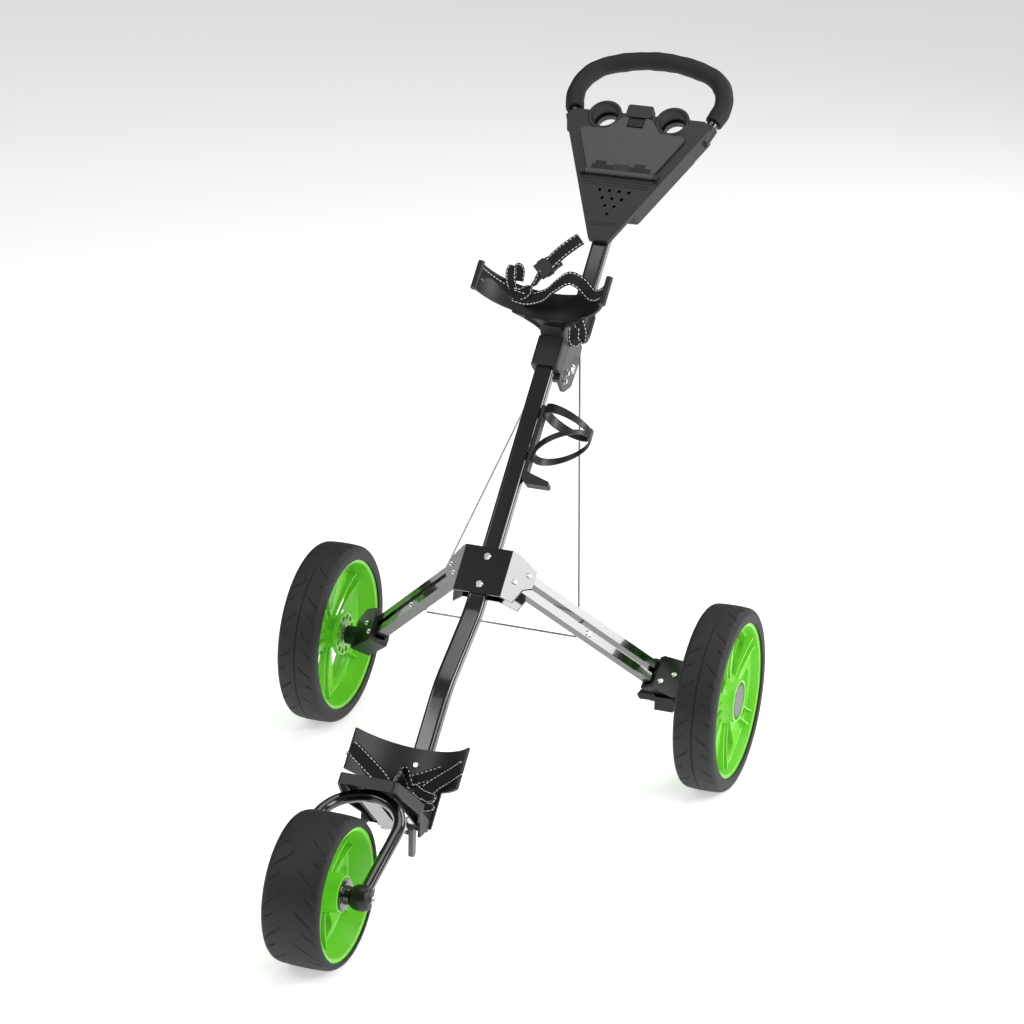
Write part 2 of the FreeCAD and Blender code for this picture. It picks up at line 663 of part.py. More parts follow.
def console_tray():
    """Moulded triangular tray with two ball cups, tee holes and sockets for the handlebar."""
    body = new_body("ConsoleTray", CONSOLE)
    depth = size("console_depth")
    skin = size("skin")
    plan = new_sketch(body, "XY_Plane", "Plan", -8)
    outline(plan, CONSOLE_PLAN)
    pad(body, plan, 8)
    walls = new_sketch(body, "XY_Plane", "Walls", -depth)
    outline(walls, BOX_PLAN)
    pad(body, walls, depth - 1)
    inside = new_sketch(body, "XY_Plane", "Inside", -depth - 1)
    outline(inside, shrink(BOX_PLAN, skin))
    pocket(body, inside, depth + 1 - skin, reverse=True)
    cups = new_sketch(body, "XY_Plane", "Cups", -depth)
    for x in (-CUP_X, CUP_X):
        circle(cups, x, CUP_Y, "Dimensions.cup_outer")
    pad(body, cups, depth)
    bump = new_sketch(body, "XY_Plane", "Bump", -12)
    outline(bump, rectangle_points(44, 24, 0, 254, 5))
    pad(body, bump, 16)
    bores = new_sketch(body, "XY_Plane", "CupBores", 1)
    for x in (-CUP_X, CUP_X):
        circle(bores, x, CUP_Y, "Dimensions.cup_bore")
    pocket(body, bores, "Dimensions.cup_depth + 1")
    floors = new_sketch(body, "XY_Plane", "CupFloors", 1)
    for x in (-CUP_X, CUP_X):
        circle(floors, x, CUP_Y, "Dimensions.cup_bore - 4")
    pocket(body, floors, depth + 4)
    opening = new_sketch(body, "XY_Plane", "LidOpening", 1)
    outline(opening, OPENING_PLAN)
    pocket(body, opening, skin + 2)
    tees = new_sketch(body, "XY_Plane", "TeeHoles", 1)
    for row_index in range(4):
        count = 4 - row_index
        for index in range(count):
            circle(tees, (index - (count - 1) / 2) * 16.5, 96 - 15 * row_index, "Dimensions.tee_radius")
    pocket(body, tees, skin + 2)
    lugs = new_sketch(body, "XY_Plane", "Lugs", -1)
    for x in (-62, 62):
        outline(lugs, rectangle_points(7, 9, x, 127))
    pad(body, lugs, 8.5)
    sockets = []
    bores = []
    for side, sign in SIDES.items():
        sockets.append(cylinder(f"Socket_{side}", 13, 30, leg_place(sign, 222)))
        bores.append(cylinder(f"SocketBore_{side}", "Dimensions.handlebar_radius", 60, leg_place(sign, 227)))
    shaft = size("shaft_drop")
    bores.append(block("ShaftNotch", (-14.05, 600, -shaft - 10.05), (14.05, 690, -shaft + 10.05), FRAME))
    bores.append(cylinder("LidPinHoles", 1.5, 200, CONSOLE.multiply(along_x((-100, 127, 3.4)))))
    keep(cut("ConsoleTrayCut", fuse("ConsoleTrayFuse", [body] + sockets), bores), "console_tray")


def console_back():
    """Cover that closes the tray from below."""
    body = new_body("ConsoleBack", CONSOLE)
    plan = new_sketch(body, "XY_Plane", "BackPlan", -size("console_depth") - 3)
    outline(plan, [(-41, 64, 5), (41, 64, 5), (106, 206, 8), (-106, 206, 8)])
    pad(body, plan, "Dimensions.skin")
    keep(body, "console_back")


def console_lid():
    body = new_body("ConsoleLid", CONSOLE)
    plan = new_sketch(body, "XY_Plane", "LidPlan", 0.3)
    outline(plan, LID_PLAN)
    pad(body, plan, 4.2)
    knuckles = new_sketch(body, "YZ_Plane", "Knuckles")
    outline(knuckles, [(123.9, 0.3, 3.08), (134, 0.3), (134, 4.5), (131, 6.5, 2.5), (123.9, 6.5, 3.08)])
    pad(body, knuckles, 116, midplane=True)
    hole = new_sketch(body, "YZ_Plane", "PinHole")
    circle(hole, 127, 3.4, "Dimensions.lid_pin + Dimensions.fit_gap")
    pocket(body, hole, 130, midplane=True)
    notch = new_sketch(body, "XY_Plane", "LatchNotch", 6)
    outline(notch, rectangle_points(28, 20, 0, 230, 2))
    pocket(body, notch, 8)
    keep(body, "console_lid")
    keep(cylinder("LidPin", 1.5, 130, CONSOLE.multiply(along_x((-65, 127, 3.4)))), "lid_hinge_pin")
    latch = new_body("LidLatch", CONSOLE)
    plan = new_sketch(latch, "XY_Plane", "LatchPlan", 0.3)
    outline(plan, rectangle_points(26, 15, 0, 230, 3))
    pad(latch, plan, 4)
    keep(latch, "lid_latch")


def loop_pipe(name, start, outer, inner):
    """Round tube bent along the handlebar's loop from a distance up the console."""
    body = new_body(name, CONSOLE)
    foot = (leg_half(start), start)
    level = size("loop_level")
    spine = new_sketch(body, "XY_Plane", "Loop", level)
    left = [(-p[0],) + p[1:] for p in (foot, LOOP_CORNER)]
    outline(spine, left + [LOOP_CROWN, LOOP_CORNER, foot], closed=False)
    profile = new_sketch(body, "XZ_Plane", "Section", -start)
    circle(profile, -foot[0], level, outer)
    pipe(body, profile, spine)
    bore = new_sketch(body, "XZ_Plane", "Bore", -start)
    circle(bore, -foot[0], level, inner)
    pipe(body, bore, spine, cut=True)
    return body


def handlebar():
    keep(loop_pipe("Handlebar", 230, "Dimensions.handlebar_radius",
                   "Dimensions.handlebar_radius - Dimensions.tube_wall"), "handlebar")
    keep(loop_pipe("Grip", 262, "Dimensions.grip_radius", "Dimensions.handlebar_radius"), "handle_grip")


# ---- Rear arms and wheels ------------------------------------------------------------------------

def arm_bar(side, sign, pivot):
    """Box bar between its hub pivot and the axle housing."""
    body = new_body(f"Bar_{pivot}_{side}", bar_place(sign, pivot))
    plan = new_sketch(body, "XY_Plane", "BarPlan")
    half = size("bar_width") / 2
    reach = sign * size("bar_length")
    start, end = min(0, reach) - half, max(0, reach) + half
    outline(plan, [(start, -half, half - 0.01), (end, -half, half - 0.01),
                   (end, half, half - 0.01), (start, half, half - 0.01)])
    for x in (0, reach):
        radius = "Dimensions.pin_radius + 1.5 + Dimensions.fit_gap"
        circle(plan, x, 0, radius)
    pad(body, plan, "Dimensions.bar_depth", midplane=True)
    if pivot == "lower":
        hole = new_sketch(body, "XY_Plane", "WireBoltHole")
        circle(hole, sign * WIRE_BOLT_REACH, 0, "Dimensions.pin_radius")
        pocket(body, hole, 60, midplane=True)
        spot = bar_place(sign, pivot).multiply(
            Placement(V(sign * WIRE_BOLT_REACH, 0, size("bar_depth") / 2), Rotation()))
        keep(bolt(f"ArmBolt_{side}", spot, size("bar_depth"), head=0.9, nut=False), f"arm_bolt_{side}")
    keep(body, f"{pivot}_arm_{side}")


def housing_outline():
    return [(314, -60, 5), (392, -62, 8), (396, -10, 10), (366, 4, 8), (320, -4, 6)]


def axle_housing(side, sign):
    """Moulded housing: two cheeks round the bar ends, an end wall and the axle boss."""
    place = wing_place(sign)
    body = new_body(f"Housing_{side}", place)
    low, high = BAR_FACE - size("bar_depth") - 7.0, BAR_FACE + 7.0
    plan = new_sketch(body, "XY_Plane", "HousingPlan", low)
    outline(plan, [(sign * x, y, r) for x, y, r in housing_outline()])
    pad(body, plan, high - low)
    slot = new_sketch(body, "XY_Plane", "BarSlot", BAR_MIDDLE)
    outline(slot, [(sign * x, y) for x, y in
                   [(300, -52.5), (356, -52.5), (356, 20), (300, 20)]])
    pocket(body, slot, size("bar_depth") + 0.6, midplane=True)
    holes = new_sketch(body, "XY_Plane", "PivotHoles", BAR_MIDDLE)
    for pivot in PIVOTS:
        out, station = bar_end(pivot)
        circle(holes, sign * out, station, "Dimensions.pin_radius")
    pocket(body, holes, 80, midplane=True)
    centre = size("track") / 2
    boss = cylinder(f"Boss_{side}", 15, 52, Placement(V(sign * (centre - 28), AXLE_Y, size("rear_radius")),
                                                      Rotation(V(0, 1, 0), -sign * 90)))
    bore = cylinder(f"BossBore_{side}", "Dimensions.axle_radius", 80,
                    Placement(V(sign * (centre - 72), AXLE_Y, size("rear_radius")),
                              Rotation(V(0, 1, 0), sign * 90)))
    tools = [bore]
    if side == "right":
        tools += brake_room()
    keep(cut(f"AxleHousing_{side}", fuse(f"HousingFuse_{side}", [body, boss]), tools), f"axle_housing_{side}")
    bolts = []
    for pivot in PIVOTS:
        out, station = bar_end(pivot)
        spot = place.multiply(Placement(V(sign * out, station, high), Rotation()))
        bolts.append(bolt(f"HousingBolt_{pivot}_{side}", spot, high - low, head=0.8))
    keep(group(f"HousingBolts_{side}", bolts + housing_bushes(side, sign)), f"housing_bolts_{side}")


def housing_bushes(side, sign):
    """Sleeves that the bar ends turn on inside the housing."""
    sleeves = []
    length = size("bar_depth") + 0.6
    for pivot in PIVOTS:
        out, station = bar_end(pivot)
        seat = wing_place(sign).multiply(
            Placement(V(sign * out, station, BAR_MIDDLE - length / 2), Rotation()))
        sleeve = cylinder(f"HousingSleeve_{pivot}_{side}", "Dimensions.pin_radius + 1.5", length, seat)
        bore = cylinder(f"HousingSleeveBore_{pivot}_{side}", "Dimensions.pin_radius", length, seat)
        sleeves.append(cut(f"HousingBush_{pivot}_{side}", sleeve, [bore]))
    return sleeves


def wheel_place(side, sign):
    return Placement(V(sign * size("track") / 2, AXLE_Y, size("rear_radius")),
                     Rotation(V(0, 1, 0), sign * 90))


def revolved(name, place, points):
    """Body turned about its local z axis from (radius, height, corner) points."""
    body = new_body(name, place)
    sketch = new_sketch(body, "XZ_Plane", "Section")
    outline(sketch, points)
    turn = body.newObject("PartDesign::Revolution", "Turn")
    turn.Profile = sketch
    turn.ReferenceAxis = (sketch, ["V_Axis"])
    turn.Angle = 360
    return body


def rim(name, label, place, seat, width, hub, spokes_at):
    """Moulded rim: barrel, five spokes and a hub tube; the outer side is +z."""
    half = width / 2
    bore = size("bearing_radius")
    low, high = hub
    web_low, web_high = spokes_at
    body = revolved(name, place, [
        (bore, low), (bore + 21, low, 1), (bore + 21, low + 7, 1), (bore + 10, low + 9, 3),
        (bore + 13, web_low, 3), (seat - 9, web_low, 4), (seat - 6, -half + 2, 2),
        (seat, -half + 2), (seat, half - 2), (seat - 6, half - 2, 2), (seat - 9, web_high, 4),
        (bore + 13, web_high, 3), (bore + 12, high, 1), (bore, high)])
    window = new_sketch(body, "XY_Plane", "Window", web_high + 20)
    inner, outer = bore + 22, seat - 16
    spread = math.radians(26)
    outline(window, [(inner * math.cos(-spread * 0.7), inner * math.sin(-spread * 0.7), 4),
                     (outer * math.cos(-spread), outer * math.sin(-spread), 8),
                     (outer * 1.06, 0, 60),
                     (outer * math.cos(spread), outer * math.sin(spread), 8),
                     (inner * math.cos(spread * 0.7), inner * math.sin(spread * 0.7), 4)])
    opening = pocket(body, window, 80)
    pattern = body.newObject("PartDesign::PolarPattern", "FiveSpokes")
    pattern.Originals = [opening]
    pattern.Axis = (window, ["N_Axis"])
    pattern.Angle = 360
    pattern.Occurrences = 5
    body.Tip = pattern
    locks = new_sketch(body, "XY_Plane", "BrakeHoles", low + 8)
    for index in range(12):
        angle = math.atan2(BRAKE_PIN[0], -BRAKE_PIN[1]) + math.radians(30 * index)
        reach = math.hypot(*BRAKE_PIN)
        circle(locks, reach * math.cos(angle), reach * math.sin(angle), "Dimensions.brake_pin + 0.8")
    pocket(body, locks, 9)
    keep(body, label)


def tyre(name, label, place, tread, flank, width):
    """Foam tyre: flank gives (seat radius, side radius, shoulder width, shoulder rounding)."""
    half = width / 2
    seat, side, run, rounding = flank
    lower = [(seat, -half + 2), (seat + 2, -half, 0.5), (side, -half, 2), (tread - 1, -half + run, rounding)]
    upper = [(x, -y, *rest) for x, y, *rest in reversed(lower)]
    body = revolved(name, place, lower + [(tread, 0, 200)] + upper)
    keep(body, label)


def bearings(name, label, place, seats):
    rings = []
    for index, seat in enumerate(seats):
        spot = place.multiply(Placement(V(0, 0, seat), Rotation()))
        ring = cylinder(f"{name}Ring{index}", "Dimensions.bearing_radius", "Dimensions.bearing_width", spot)
        bore = cylinder(f"{name}Bore{index}", "Dimensions.axle_radius + Dimensions.fit_gap",
                        "Dimensions.bearing_width", spot)
        rings.append(cut(f"{name}{index}", ring, [bore]))
    keep(group(name, rings), label)


def rear_side(side, sign):
    for pivot in PIVOTS:
        arm_bar(side, sign, pivot)
    axle_housing(side, sign)
    place = wheel_place(side, sign)
    axle = cylinder(f"RearAxle_{side}", "Dimensions.axle_radius", 84, place.multiply(
        Placement(V(0, 0, -62), Rotation())))
    head = cylinder(f"RearAxleHead_{side}", 9, 3, place.multiply(Placement(V(0, 0, 22), Rotation())))
    keep(fuse(f"RearAxleJoin_{side}", [axle, head]), f"rear_axle_{side}")
    rim(f"RearRim_{side}", f"rear_rim_{side}", place, size("rear_seat"), size("rear_width") - 3,
        (-24, 21), (4, 13))
    tyre(f"RearTyre_{side}", f"rear_tyre_{side}", place, size("rear_radius"),
         (size("rear_seat"), 134, 11, 14), size("rear_width"))
    bearings(f"RearBearings_{side}", f"rear_bearings_{side}", place, (-24, 13))
    cap = revolved(f"HubCap_{side}", place, [(0, 31), (24, 31, 3), (29, 27, 2), (29, 21), (26.5, 21),
                                             (26.5, 26.5, 1), (0, 28)])
    keep(cap, f"hub_cap_{side}")


def brake_box_block(name):
    """Plain block of the brake box."""
    middle, level = brake_centre()
    return block(name, (236, middle - 14, level - 10), (266, middle + 13, level + 12))


def brake_centre():
    """Middle of the brake box front to back, and the level of its pin."""
    return AXLE_Y - 30, size("rear_radius") + BRAKE_PIN[1]


def brake_room():
    """Room in the right housing for the brake box, its pin and the pedal's swing."""
    middle, level = brake_centre()
    pin = cylinder("PinRoom", "Dimensions.brake_pin + 1.5", 70,
                   Placement(V(240, AXLE_Y + BRAKE_PIN[0], level), Rotation(V(0, 1, 0), 90)))
    pedal = block("PedalRoom", (190, middle - 15, level - 26), (236.2, middle + 14, level + 22))
    return [brake_box_block("BoxRoom"), pin, pedal]


def brake():
    """Foot pedal, its box under the right housing and the pin that locks the wheel."""
    middle, level = brake_centre()
    pin_line = Placement(V(250, AXLE_Y + BRAKE_PIN[0], level), Rotation(V(0, 1, 0), 90))
    box = brake_box_block("BrakeBox")
    ears = [block(f"BrakeEar{index}", (227, middle + start, level + 4), (236, middle + start + 3, level + 15))
            for index, start in enumerate((-14, 10))]
    hinge = cylinder("PedalPin", "Dimensions.lid_pin", 27, along_y((232, middle - 14, level + 10)))
    bore = cylinder("BrakeBore", "Dimensions.brake_pin + Dimensions.fit_gap", 30, pin_line)
    keep(cut("BrakeBoxCut", fuse("BrakeBoxFuse", [box] + ears + [hinge]), [bore]), "brake_box")
    keep(cylinder("BrakePin", "Dimensions.brake_pin", 34, pin_line), "brake_pin")
    pedal = new_body("BrakePedal", Placement(V(0, middle, level + 4), Rotation()))
    view = new_sketch(pedal, "XZ_Plane", "PedalSide")
    outline(view, [(204, 8, 3), (210, -2, 4), (230, -1, 3), (235, 4, 2), (234.5, 9.5, 3)])
    circle(view, 232, 6, "Dimensions.lid_pin + Dimensions.fit_gap")
    pad(pedal, view, 19.4, midplane=True)
    keep(pedal, "brake_pedal")


# ---- Front fork and wheel ------------------------------------------------------------------------

def fork():
    """Bent tube over the wheel with a stem down to the hinge pin."""
    body = new_body("Fork", FORK)
    half, leg = size("fork_half"), size("fork_leg")
    spine = new_sketch(body, "XY_Plane", "ForkLine")
    spine.addGeometry(Part.LineSegment(V(-half, 0, 0), V(-half, leg, 0)), False)
    spine.addGeometry(Part.Arc(V(-half, leg, 0), V(0, leg + half, 0), V(half, leg, 0)), False)
    spine.addGeometry(Part.LineSegment(V(half, leg, 0), V(half, 0, 0)), False)
    profile = new_sketch(body, "XZ_Plane", "ForkSection")
    circle(profile, -half, 0, "Dimensions.fork_radius")
    pipe(body, profile, spine)
    pin = FORK.inverse().multVec(FRAME.multVec(V(0, FORK_PIN_STATION, FORK_PIN_HEIGHT)))
    apex = V(0, leg + half, 0)
    run = V(0, pin.y - apex.y, pin.z - apex.z)
    run.normalize()
    across = V(0, -run.z, run.y)
    reach = 9.5
    ends = [apex + across * reach - run * 4, apex - across * reach - run * 4,
            pin - across * reach + run * reach, pin + across * reach + run * reach]
    stem = new_sketch(body, "YZ_Plane", "Stem")
    outline(stem, [(p.y, p.z, r) for p, r in zip(ends, (3, 3, 9.4, 9.4))])
    pad(body, stem, 28, midplane=True)
    hole = new_sketch(body, "YZ_Plane", "StemHole")
    circle(hole, pin.y, pin.z, "Dimensions.fork_pin + Dimensions.fit_gap")
    pocket(body, hole, 60, midplane=True)
    holes = new_sketch(body, "YZ_Plane", "AxleHoles")
    circle(holes, 0, 0, "Dimensions.axle_radius")
    pocket(body, holes, 200, midplane=True)
    keep(body, "front_fork")


def front_axle():
    """Axle, its end nuts and the barrel caps over the fork ends."""
    place = Placement(FRONT_AXLE, Rotation(V(0, 1, 0), 90))
    axle = cylinder("FrontAxle", "Dimensions.axle_radius", 156,
                    place.multiply(Placement(V(0, 0, -78), Rotation())))
    keep(axle, "front_axle")
    caps = []
    for side, sign in SIDES.items():
        barrel = cylinder(f"Barrel_{side}", 18, 28, Placement(FRONT_AXLE + V(sign * 47, 0, 0),
                                                              Rotation(V(0, 1, 0), sign * 90)))
        leg = cylinder(f"BarrelLeg_{side}", "Dimensions.fork_radius", 60,
                       FORK.multiply(along_y((sign * size("fork_half"), 0, 0))))
        bore = cylinder(f"BarrelBore_{side}", "Dimensions.axle_radius", 200,
                        place.multiply(Placement(V(0, 0, -100), Rotation())))
        caps.append(cut(f"BarrelCap_{side}", barrel, [leg, bore]))
    keep(group("AxleCaps", caps), "axle_end_caps")


def front_wheel():
    place = Placement(FRONT_AXLE, Rotation(V(0, 1, 0), 90))
    width = size("front_width")
    body = revolved("FrontRimBody", place, [
        (size("bearing_radius"), -36), (26, -36, 1), (28, -6, 3), (78, -6, 5), (88, -width / 2 + 3, 2),
        (94, -width / 2 + 3), (94, width / 2 - 3), (88, width / 2 - 3, 2), (78, 6, 5), (28, 6, 3),
        (26, 36, 1), (size("bearing_radius"), 36)])
    window = new_sketch(body, "XY_Plane", "Window", 40)
    spread = math.radians(24)
    outline(window, [(38 * math.cos(spread), -38 * math.sin(spread), 5),
                     (74 * math.cos(spread), -74 * math.sin(spread), 8), (79, 0, 50),
                     (74 * math.cos(spread), 74 * math.sin(spread), 8),
                     (38 * math.cos(spread), 38 * math.sin(spread), 5)])
    opening = pocket(body, window, 80)
    pattern = body.newObject("PartDesign::PolarPattern", "FiveSpokes")
    pattern.Originals = [opening]
    pattern.Axis = (window, ["N_Axis"])
    pattern.Angle = 360
    pattern.Occurrences = 5
    body.Tip = pattern
    keep(body, "front_rim")
    tyre("FrontTyre", "front_tyre", place, size("front_radius"), (size("front_seat"), 98, 14.5, 24), width)
    bearings("FrontBearings", "front_bearings", place, (-36, 28))


# ---- Wires ---------------------------------------------------------------------------------------

def wire(name, start, end):
    """Straight steel wire between two points of the frame."""
    line = end - start
    turn = Rotation(V(0, 0, 1), line)
    return cylinder(name, "Dimensions.wire_radius", line.Length, FRAME.multiply(Placement(start, turn)))


def wires():
    pulls = [wire(f"ArmWire_{side}", V(sign * 23.5, 412, -70), V(sign * 126.5, -27, -131))
             for side, sign in SIDES.items()]
    keep(group("ArmWires", pulls), "arm_wires")
    keep(wire("LimitWire", V(-123, -29, -131), V(123, -29, -131)), "limit_wire")


def build():
    """Make every sub-part in order."""
    main_tube()
    hub_plates()
    hinge_collar()
    hinge_block()
    keep(group("FrameBolts", hub_fasteners() + hinge_fasteners() + cradle_bolts()), "frame_bolts")
    upper_cradle()
    webbing("UpperStrap", UPPER_ARC, 422, "upper_strap", 66)
    strap_buckle()
    lower_cradle()
    foot_ledge()
    webbing("LowerStrap", LOWER_ARC, -364, "lower_strap", 54)
    bottle_holder()
    fork_hinge()
    handle_shoe()
    upper_shaft()
    twist_lock()
    console_tray()
    console_back()
    console_lid()
    handlebar()
    for side, sign in SIDES.items():
        rear_side(side, sign)
    brake()
    fork()
    front_axle()
    front_wheel()
    wires()


def export():
    """Check every object, then write one STEP file for each sub-part."""
    doc.recompute()
    for obj in doc.Objects:
        if "Invalid" in obj.State or "Error" in obj.State:
            raise RuntimeError(f"{obj.Name} ({obj.Label}) failed: {obj.State}")
    for obj in NODES:
        if obj.Shape.isNull() or not obj.Shape.isValid() or not obj.Shape.Solids:
            raise RuntimeError(f"{obj.Label} has no valid solid")
    os.makedirs("parts", exist_ok=True)
    for obj in NODES:
        obj.Shape.exportStep(f"parts/{obj.Label}.step")
        box = obj.Shape.BoundBox
        print(f"{obj.Label}: {len(obj.Shape.Solids)} solid(s), {obj.Shape.Volume / 1000:.1f} cm3, "
              f"z {box.ZMin:.1f} to {box.ZMax:.1f}")
    whole = Part.makeCompound([obj.Shape for obj in NODES]).BoundBox
    print(f"{len(NODES)} nodes, box {whole}")


build()
export()
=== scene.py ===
"""Looks of the folding golf push trolley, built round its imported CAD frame."""

import logging
import math
from dataclasses import dataclass, field
from enum import Enum
from typing import ClassVar, Iterable, Sequence

import bmesh
import bpy
import numpy as np
from mathutils import Matrix, Vector

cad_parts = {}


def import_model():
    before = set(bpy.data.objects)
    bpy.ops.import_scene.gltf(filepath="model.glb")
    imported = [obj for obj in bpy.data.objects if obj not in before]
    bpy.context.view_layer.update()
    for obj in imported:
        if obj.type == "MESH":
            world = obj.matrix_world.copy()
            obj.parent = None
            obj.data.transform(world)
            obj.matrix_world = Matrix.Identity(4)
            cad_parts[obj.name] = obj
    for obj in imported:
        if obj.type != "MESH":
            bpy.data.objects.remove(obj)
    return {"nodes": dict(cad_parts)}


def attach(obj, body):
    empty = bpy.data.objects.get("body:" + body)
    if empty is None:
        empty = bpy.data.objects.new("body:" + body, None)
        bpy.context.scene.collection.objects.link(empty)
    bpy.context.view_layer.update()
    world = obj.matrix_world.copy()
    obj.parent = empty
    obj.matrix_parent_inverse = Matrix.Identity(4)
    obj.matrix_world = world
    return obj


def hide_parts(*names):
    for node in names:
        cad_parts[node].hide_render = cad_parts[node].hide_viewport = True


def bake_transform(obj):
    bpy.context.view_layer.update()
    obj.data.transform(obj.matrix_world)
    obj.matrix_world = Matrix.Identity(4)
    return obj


LOG = logging.getLogger("golf_trolley")
MM = 0.001
# Pieces in a rounded corner of a flat path.
ARC_STEPS = 16


# ---- Places ---------------------------------------------------------------------------------------


@dataclass(frozen=True)
class Place:
    """A turned frame of reference, with its origin in millimetres.

    Args:
        origin: where the frame's zero lies in the row frame.
        slope: turn about the row's X axis, in degrees.
    """

    origin: tuple[float, float, float]
    slope: float = 0.0

    def axis(self, x: float, s: float, h: float) -> Vector:
        """Turn a direction into the row frame.

        Args:
            x: share across the trolley.
            s: share up the slope.
            h: share square to the slope.

        Returns:
            The same direction in the row frame.
        """
        a = math.radians(self.slope)
        return Vector((x, s * math.cos(a) - h * math.sin(a), s * math.sin(a) + h * math.cos(a)))

    def at(self, x: float, s: float, h: float) -> Vector:
        """Turn a point in millimetres into the row frame.

        Args:
            x: distance across the trolley.
            s: distance up the slope.
            h: distance square to the slope.

        Returns:
            The point in metres.
        """
        return (Vector(self.origin) + self.axis(x, s, h)) * MM


# All in millimetres: the rear axle's place, the wheels' radii and the distance between the axles.
AXLE_Y = 136.5
REAR_X = 327.5
REAR_RADIUS = 145.0
FRONT_RADIUS = 107.0
WHEELBASE = 775.0
TUBE = Place((0.0, AXLE_Y - 172.0, 359.0), 46.5)
CONSOLE = Place((0.0, AXLE_Y + 300.0, 763.0), 41.5)
FRONT_CENTRE = (0.0, AXLE_Y - WHEELBASE, FRONT_RADIUS)
# Direction that every wheel turns about.
AXLE = Vector((1, 0, 0))


class Side(Enum):
    """The two sides of the trolley."""

    RIGHT = 1
    LEFT = -1

    @property
    def word(self) -> str:
        """Name of the side as the CAD nodes spell it."""
        return self.name.lower()


# ---- Finishes -------------------------------------------------------------------------------------


@dataclass(frozen=True)
class Finish:
    """One surface finish.

    Args:
        name: the material's name.
        colour: base colour as sRGB hex.
        slot: the record's material slot that it belongs to.
        roughness: surface roughness.
        metallic: share of metal.
        coat: weight of a clear coat.
        grain: size of the surface grain in metres, or 0 for none.
        relief: strength of the grain's bump.
        mottle: share by which the colour varies.
        edge: radius of softened edges in metres.
        glow: share of light scattered below the surface.
    """

    name: str
    colour: str
    slot: str
    roughness: float = 0.5
    metallic: float = 0.0
    coat: float = 0.0
    grain: float = 0.0
    relief: float = 0.0
    mottle: float = 0.0
    edge: float = 0.0006
    glow: float = 0.0


class Finishes(Enum):
    """Every finish on the trolley, named for the material or the painted shade that it stands for.

    The materials are read from how the pieces look. Moulded grain and foam cells are finer than
    they are drawn: they are drawn at about 1 mm so that they show. The webbing's is its thread
    spacing, 0.7 mm.
    """

    # Powder-coated tube under a clear coat: deep black with narrow, sharp highlights.
    GLOSS = Finish("powder_coated_steel_tube", "#070708", "black_tube", 0.2, coat=1.0, edge=0.0008)
    # Pressed plate with the same coat: some metal shows through as a silvery sheen at a slant.
    PLATE = Finish("powder_coated_steel_plate", "#09090a", "black_tube", 0.2, 0.3, 1.0, edge=0.0008)
    # Zinc-plated turned parts: bright, with slightly blurred reflections.
    STEEL = Finish("zinc_plated_steel", "#d2d2cf", "bright_steel", 0.24, 1.0, edge=0.0004)
    # Drawn wire: darker and duller than the plated parts, so that it reads as a thin grey line.
    WIRE = Finish("drawn_steel_wire", "#8d8f90", "bright_steel", 0.35, 1.0, edge=0.0)
    # Moulded with a fine texture: black with soft, broad highlights.
    BLACK = Finish("moulded_polypropylene_black", "#0d0d0e", "black_plastic", 0.4, grain=0.0012,
                   relief=0.05, mottle=0.08)
    # Moulded, a little paler and duller: tells the cradles and clips from the tube.
    DARK = Finish("moulded_polypropylene_charcoal", "#1d1e1f", "black_plastic", 0.45, grain=0.001,
                  relief=0.06, mottle=0.08)
    # Moulded casing: matt charcoal with hardly any highlight.
    GREY = Finish("moulded_abs_charcoal", "#1b1c1c", "grey_plastic", 0.5, grain=0.001, relief=0.06,
                  mottle=0.06)
    # Moulded lid: a clear step paler than the casing round it. The tee-hole beads take it too, as a painted
    # highlight.
    LID = Finish("moulded_abs_grey", "#3c3d3e", "grey_plastic", 0.4, grain=0.001, relief=0.04,
                 mottle=0.05)
    # Moulded smooth: warm mid grey that stands out on the lime hubs.
    CAP = Finish("moulded_polypropylene_grey", "#605e64", "grey_plastic", 0.4, edge=0.001)
    # Moulded in one bright colour: saturated, with a thin gloss and a faint glow in thin walls.
    LIME = Finish("moulded_polypropylene_lime", "#76d431", "lime_plastic", 0.36, coat=0.2,
                  mottle=0.03, edge=0.001, glow=0.1)
    # Moulded closed-cell foam: dull black with a dry, faintly pitted skin.
    TYRE = Finish("moulded_eva_foam_tyre", "#18181a", "foam_tyre", 0.62, grain=0.0016, relief=0.1,
                  mottle=0.12, edge=0.0)
    # Softer moulded foam: dull and visibly pitted.
    GRIP = Finish("moulded_eva_foam_grip", "#111212", "foam_grip", 0.7, grain=0.0009, relief=0.25,
                  mottle=0.15, edge=0.001)
    # Woven webbing: rough and lightless, broken up by its threads.
    WEBBING = Finish("woven_polyester_webbing", "#101011", "webbing", 0.85, grain=0.0007, relief=0.5,
                     mottle=0.2, edge=0.0)
    # Moulded block round the handle's pin: blue-grey against the black tube.
    BLOCK = Finish("moulded_nylon_grey", "#3f4243", "black_plastic", 0.45, grain=0.001, relief=0.06,
                   mottle=0.06)
    # Spun thread: plain matt white dashes on the webbing.
    THREAD = Finish("spun_polyester_thread", "#e4e4e0", "webbing", 0.8, edge=0.0)
    # Painted shade: the darkest black, with no shine, laid on parts to stand for the shade in a recess.
    SHADE = Finish("painted_recess_shade_black", "#0a0a0b", "black_plastic", 0.6, edge=0.0)


def linear(code: str) -> tuple[float, float, float, float]:
    """Turn an sRGB hex colour into linear light.

    Args:
        code: the colour as "#rrggbb".

    Returns:
        Red, green, blue and alpha.
    """
    parts = [int(code[i:i + 2], 16) / 255 for i in (1, 3, 5)]
    light = [c / 12.92 if c <= 0.04045 else ((c + 0.055) / 1.055) ** 2.4 for c in parts]
    return (*light, 1.0)


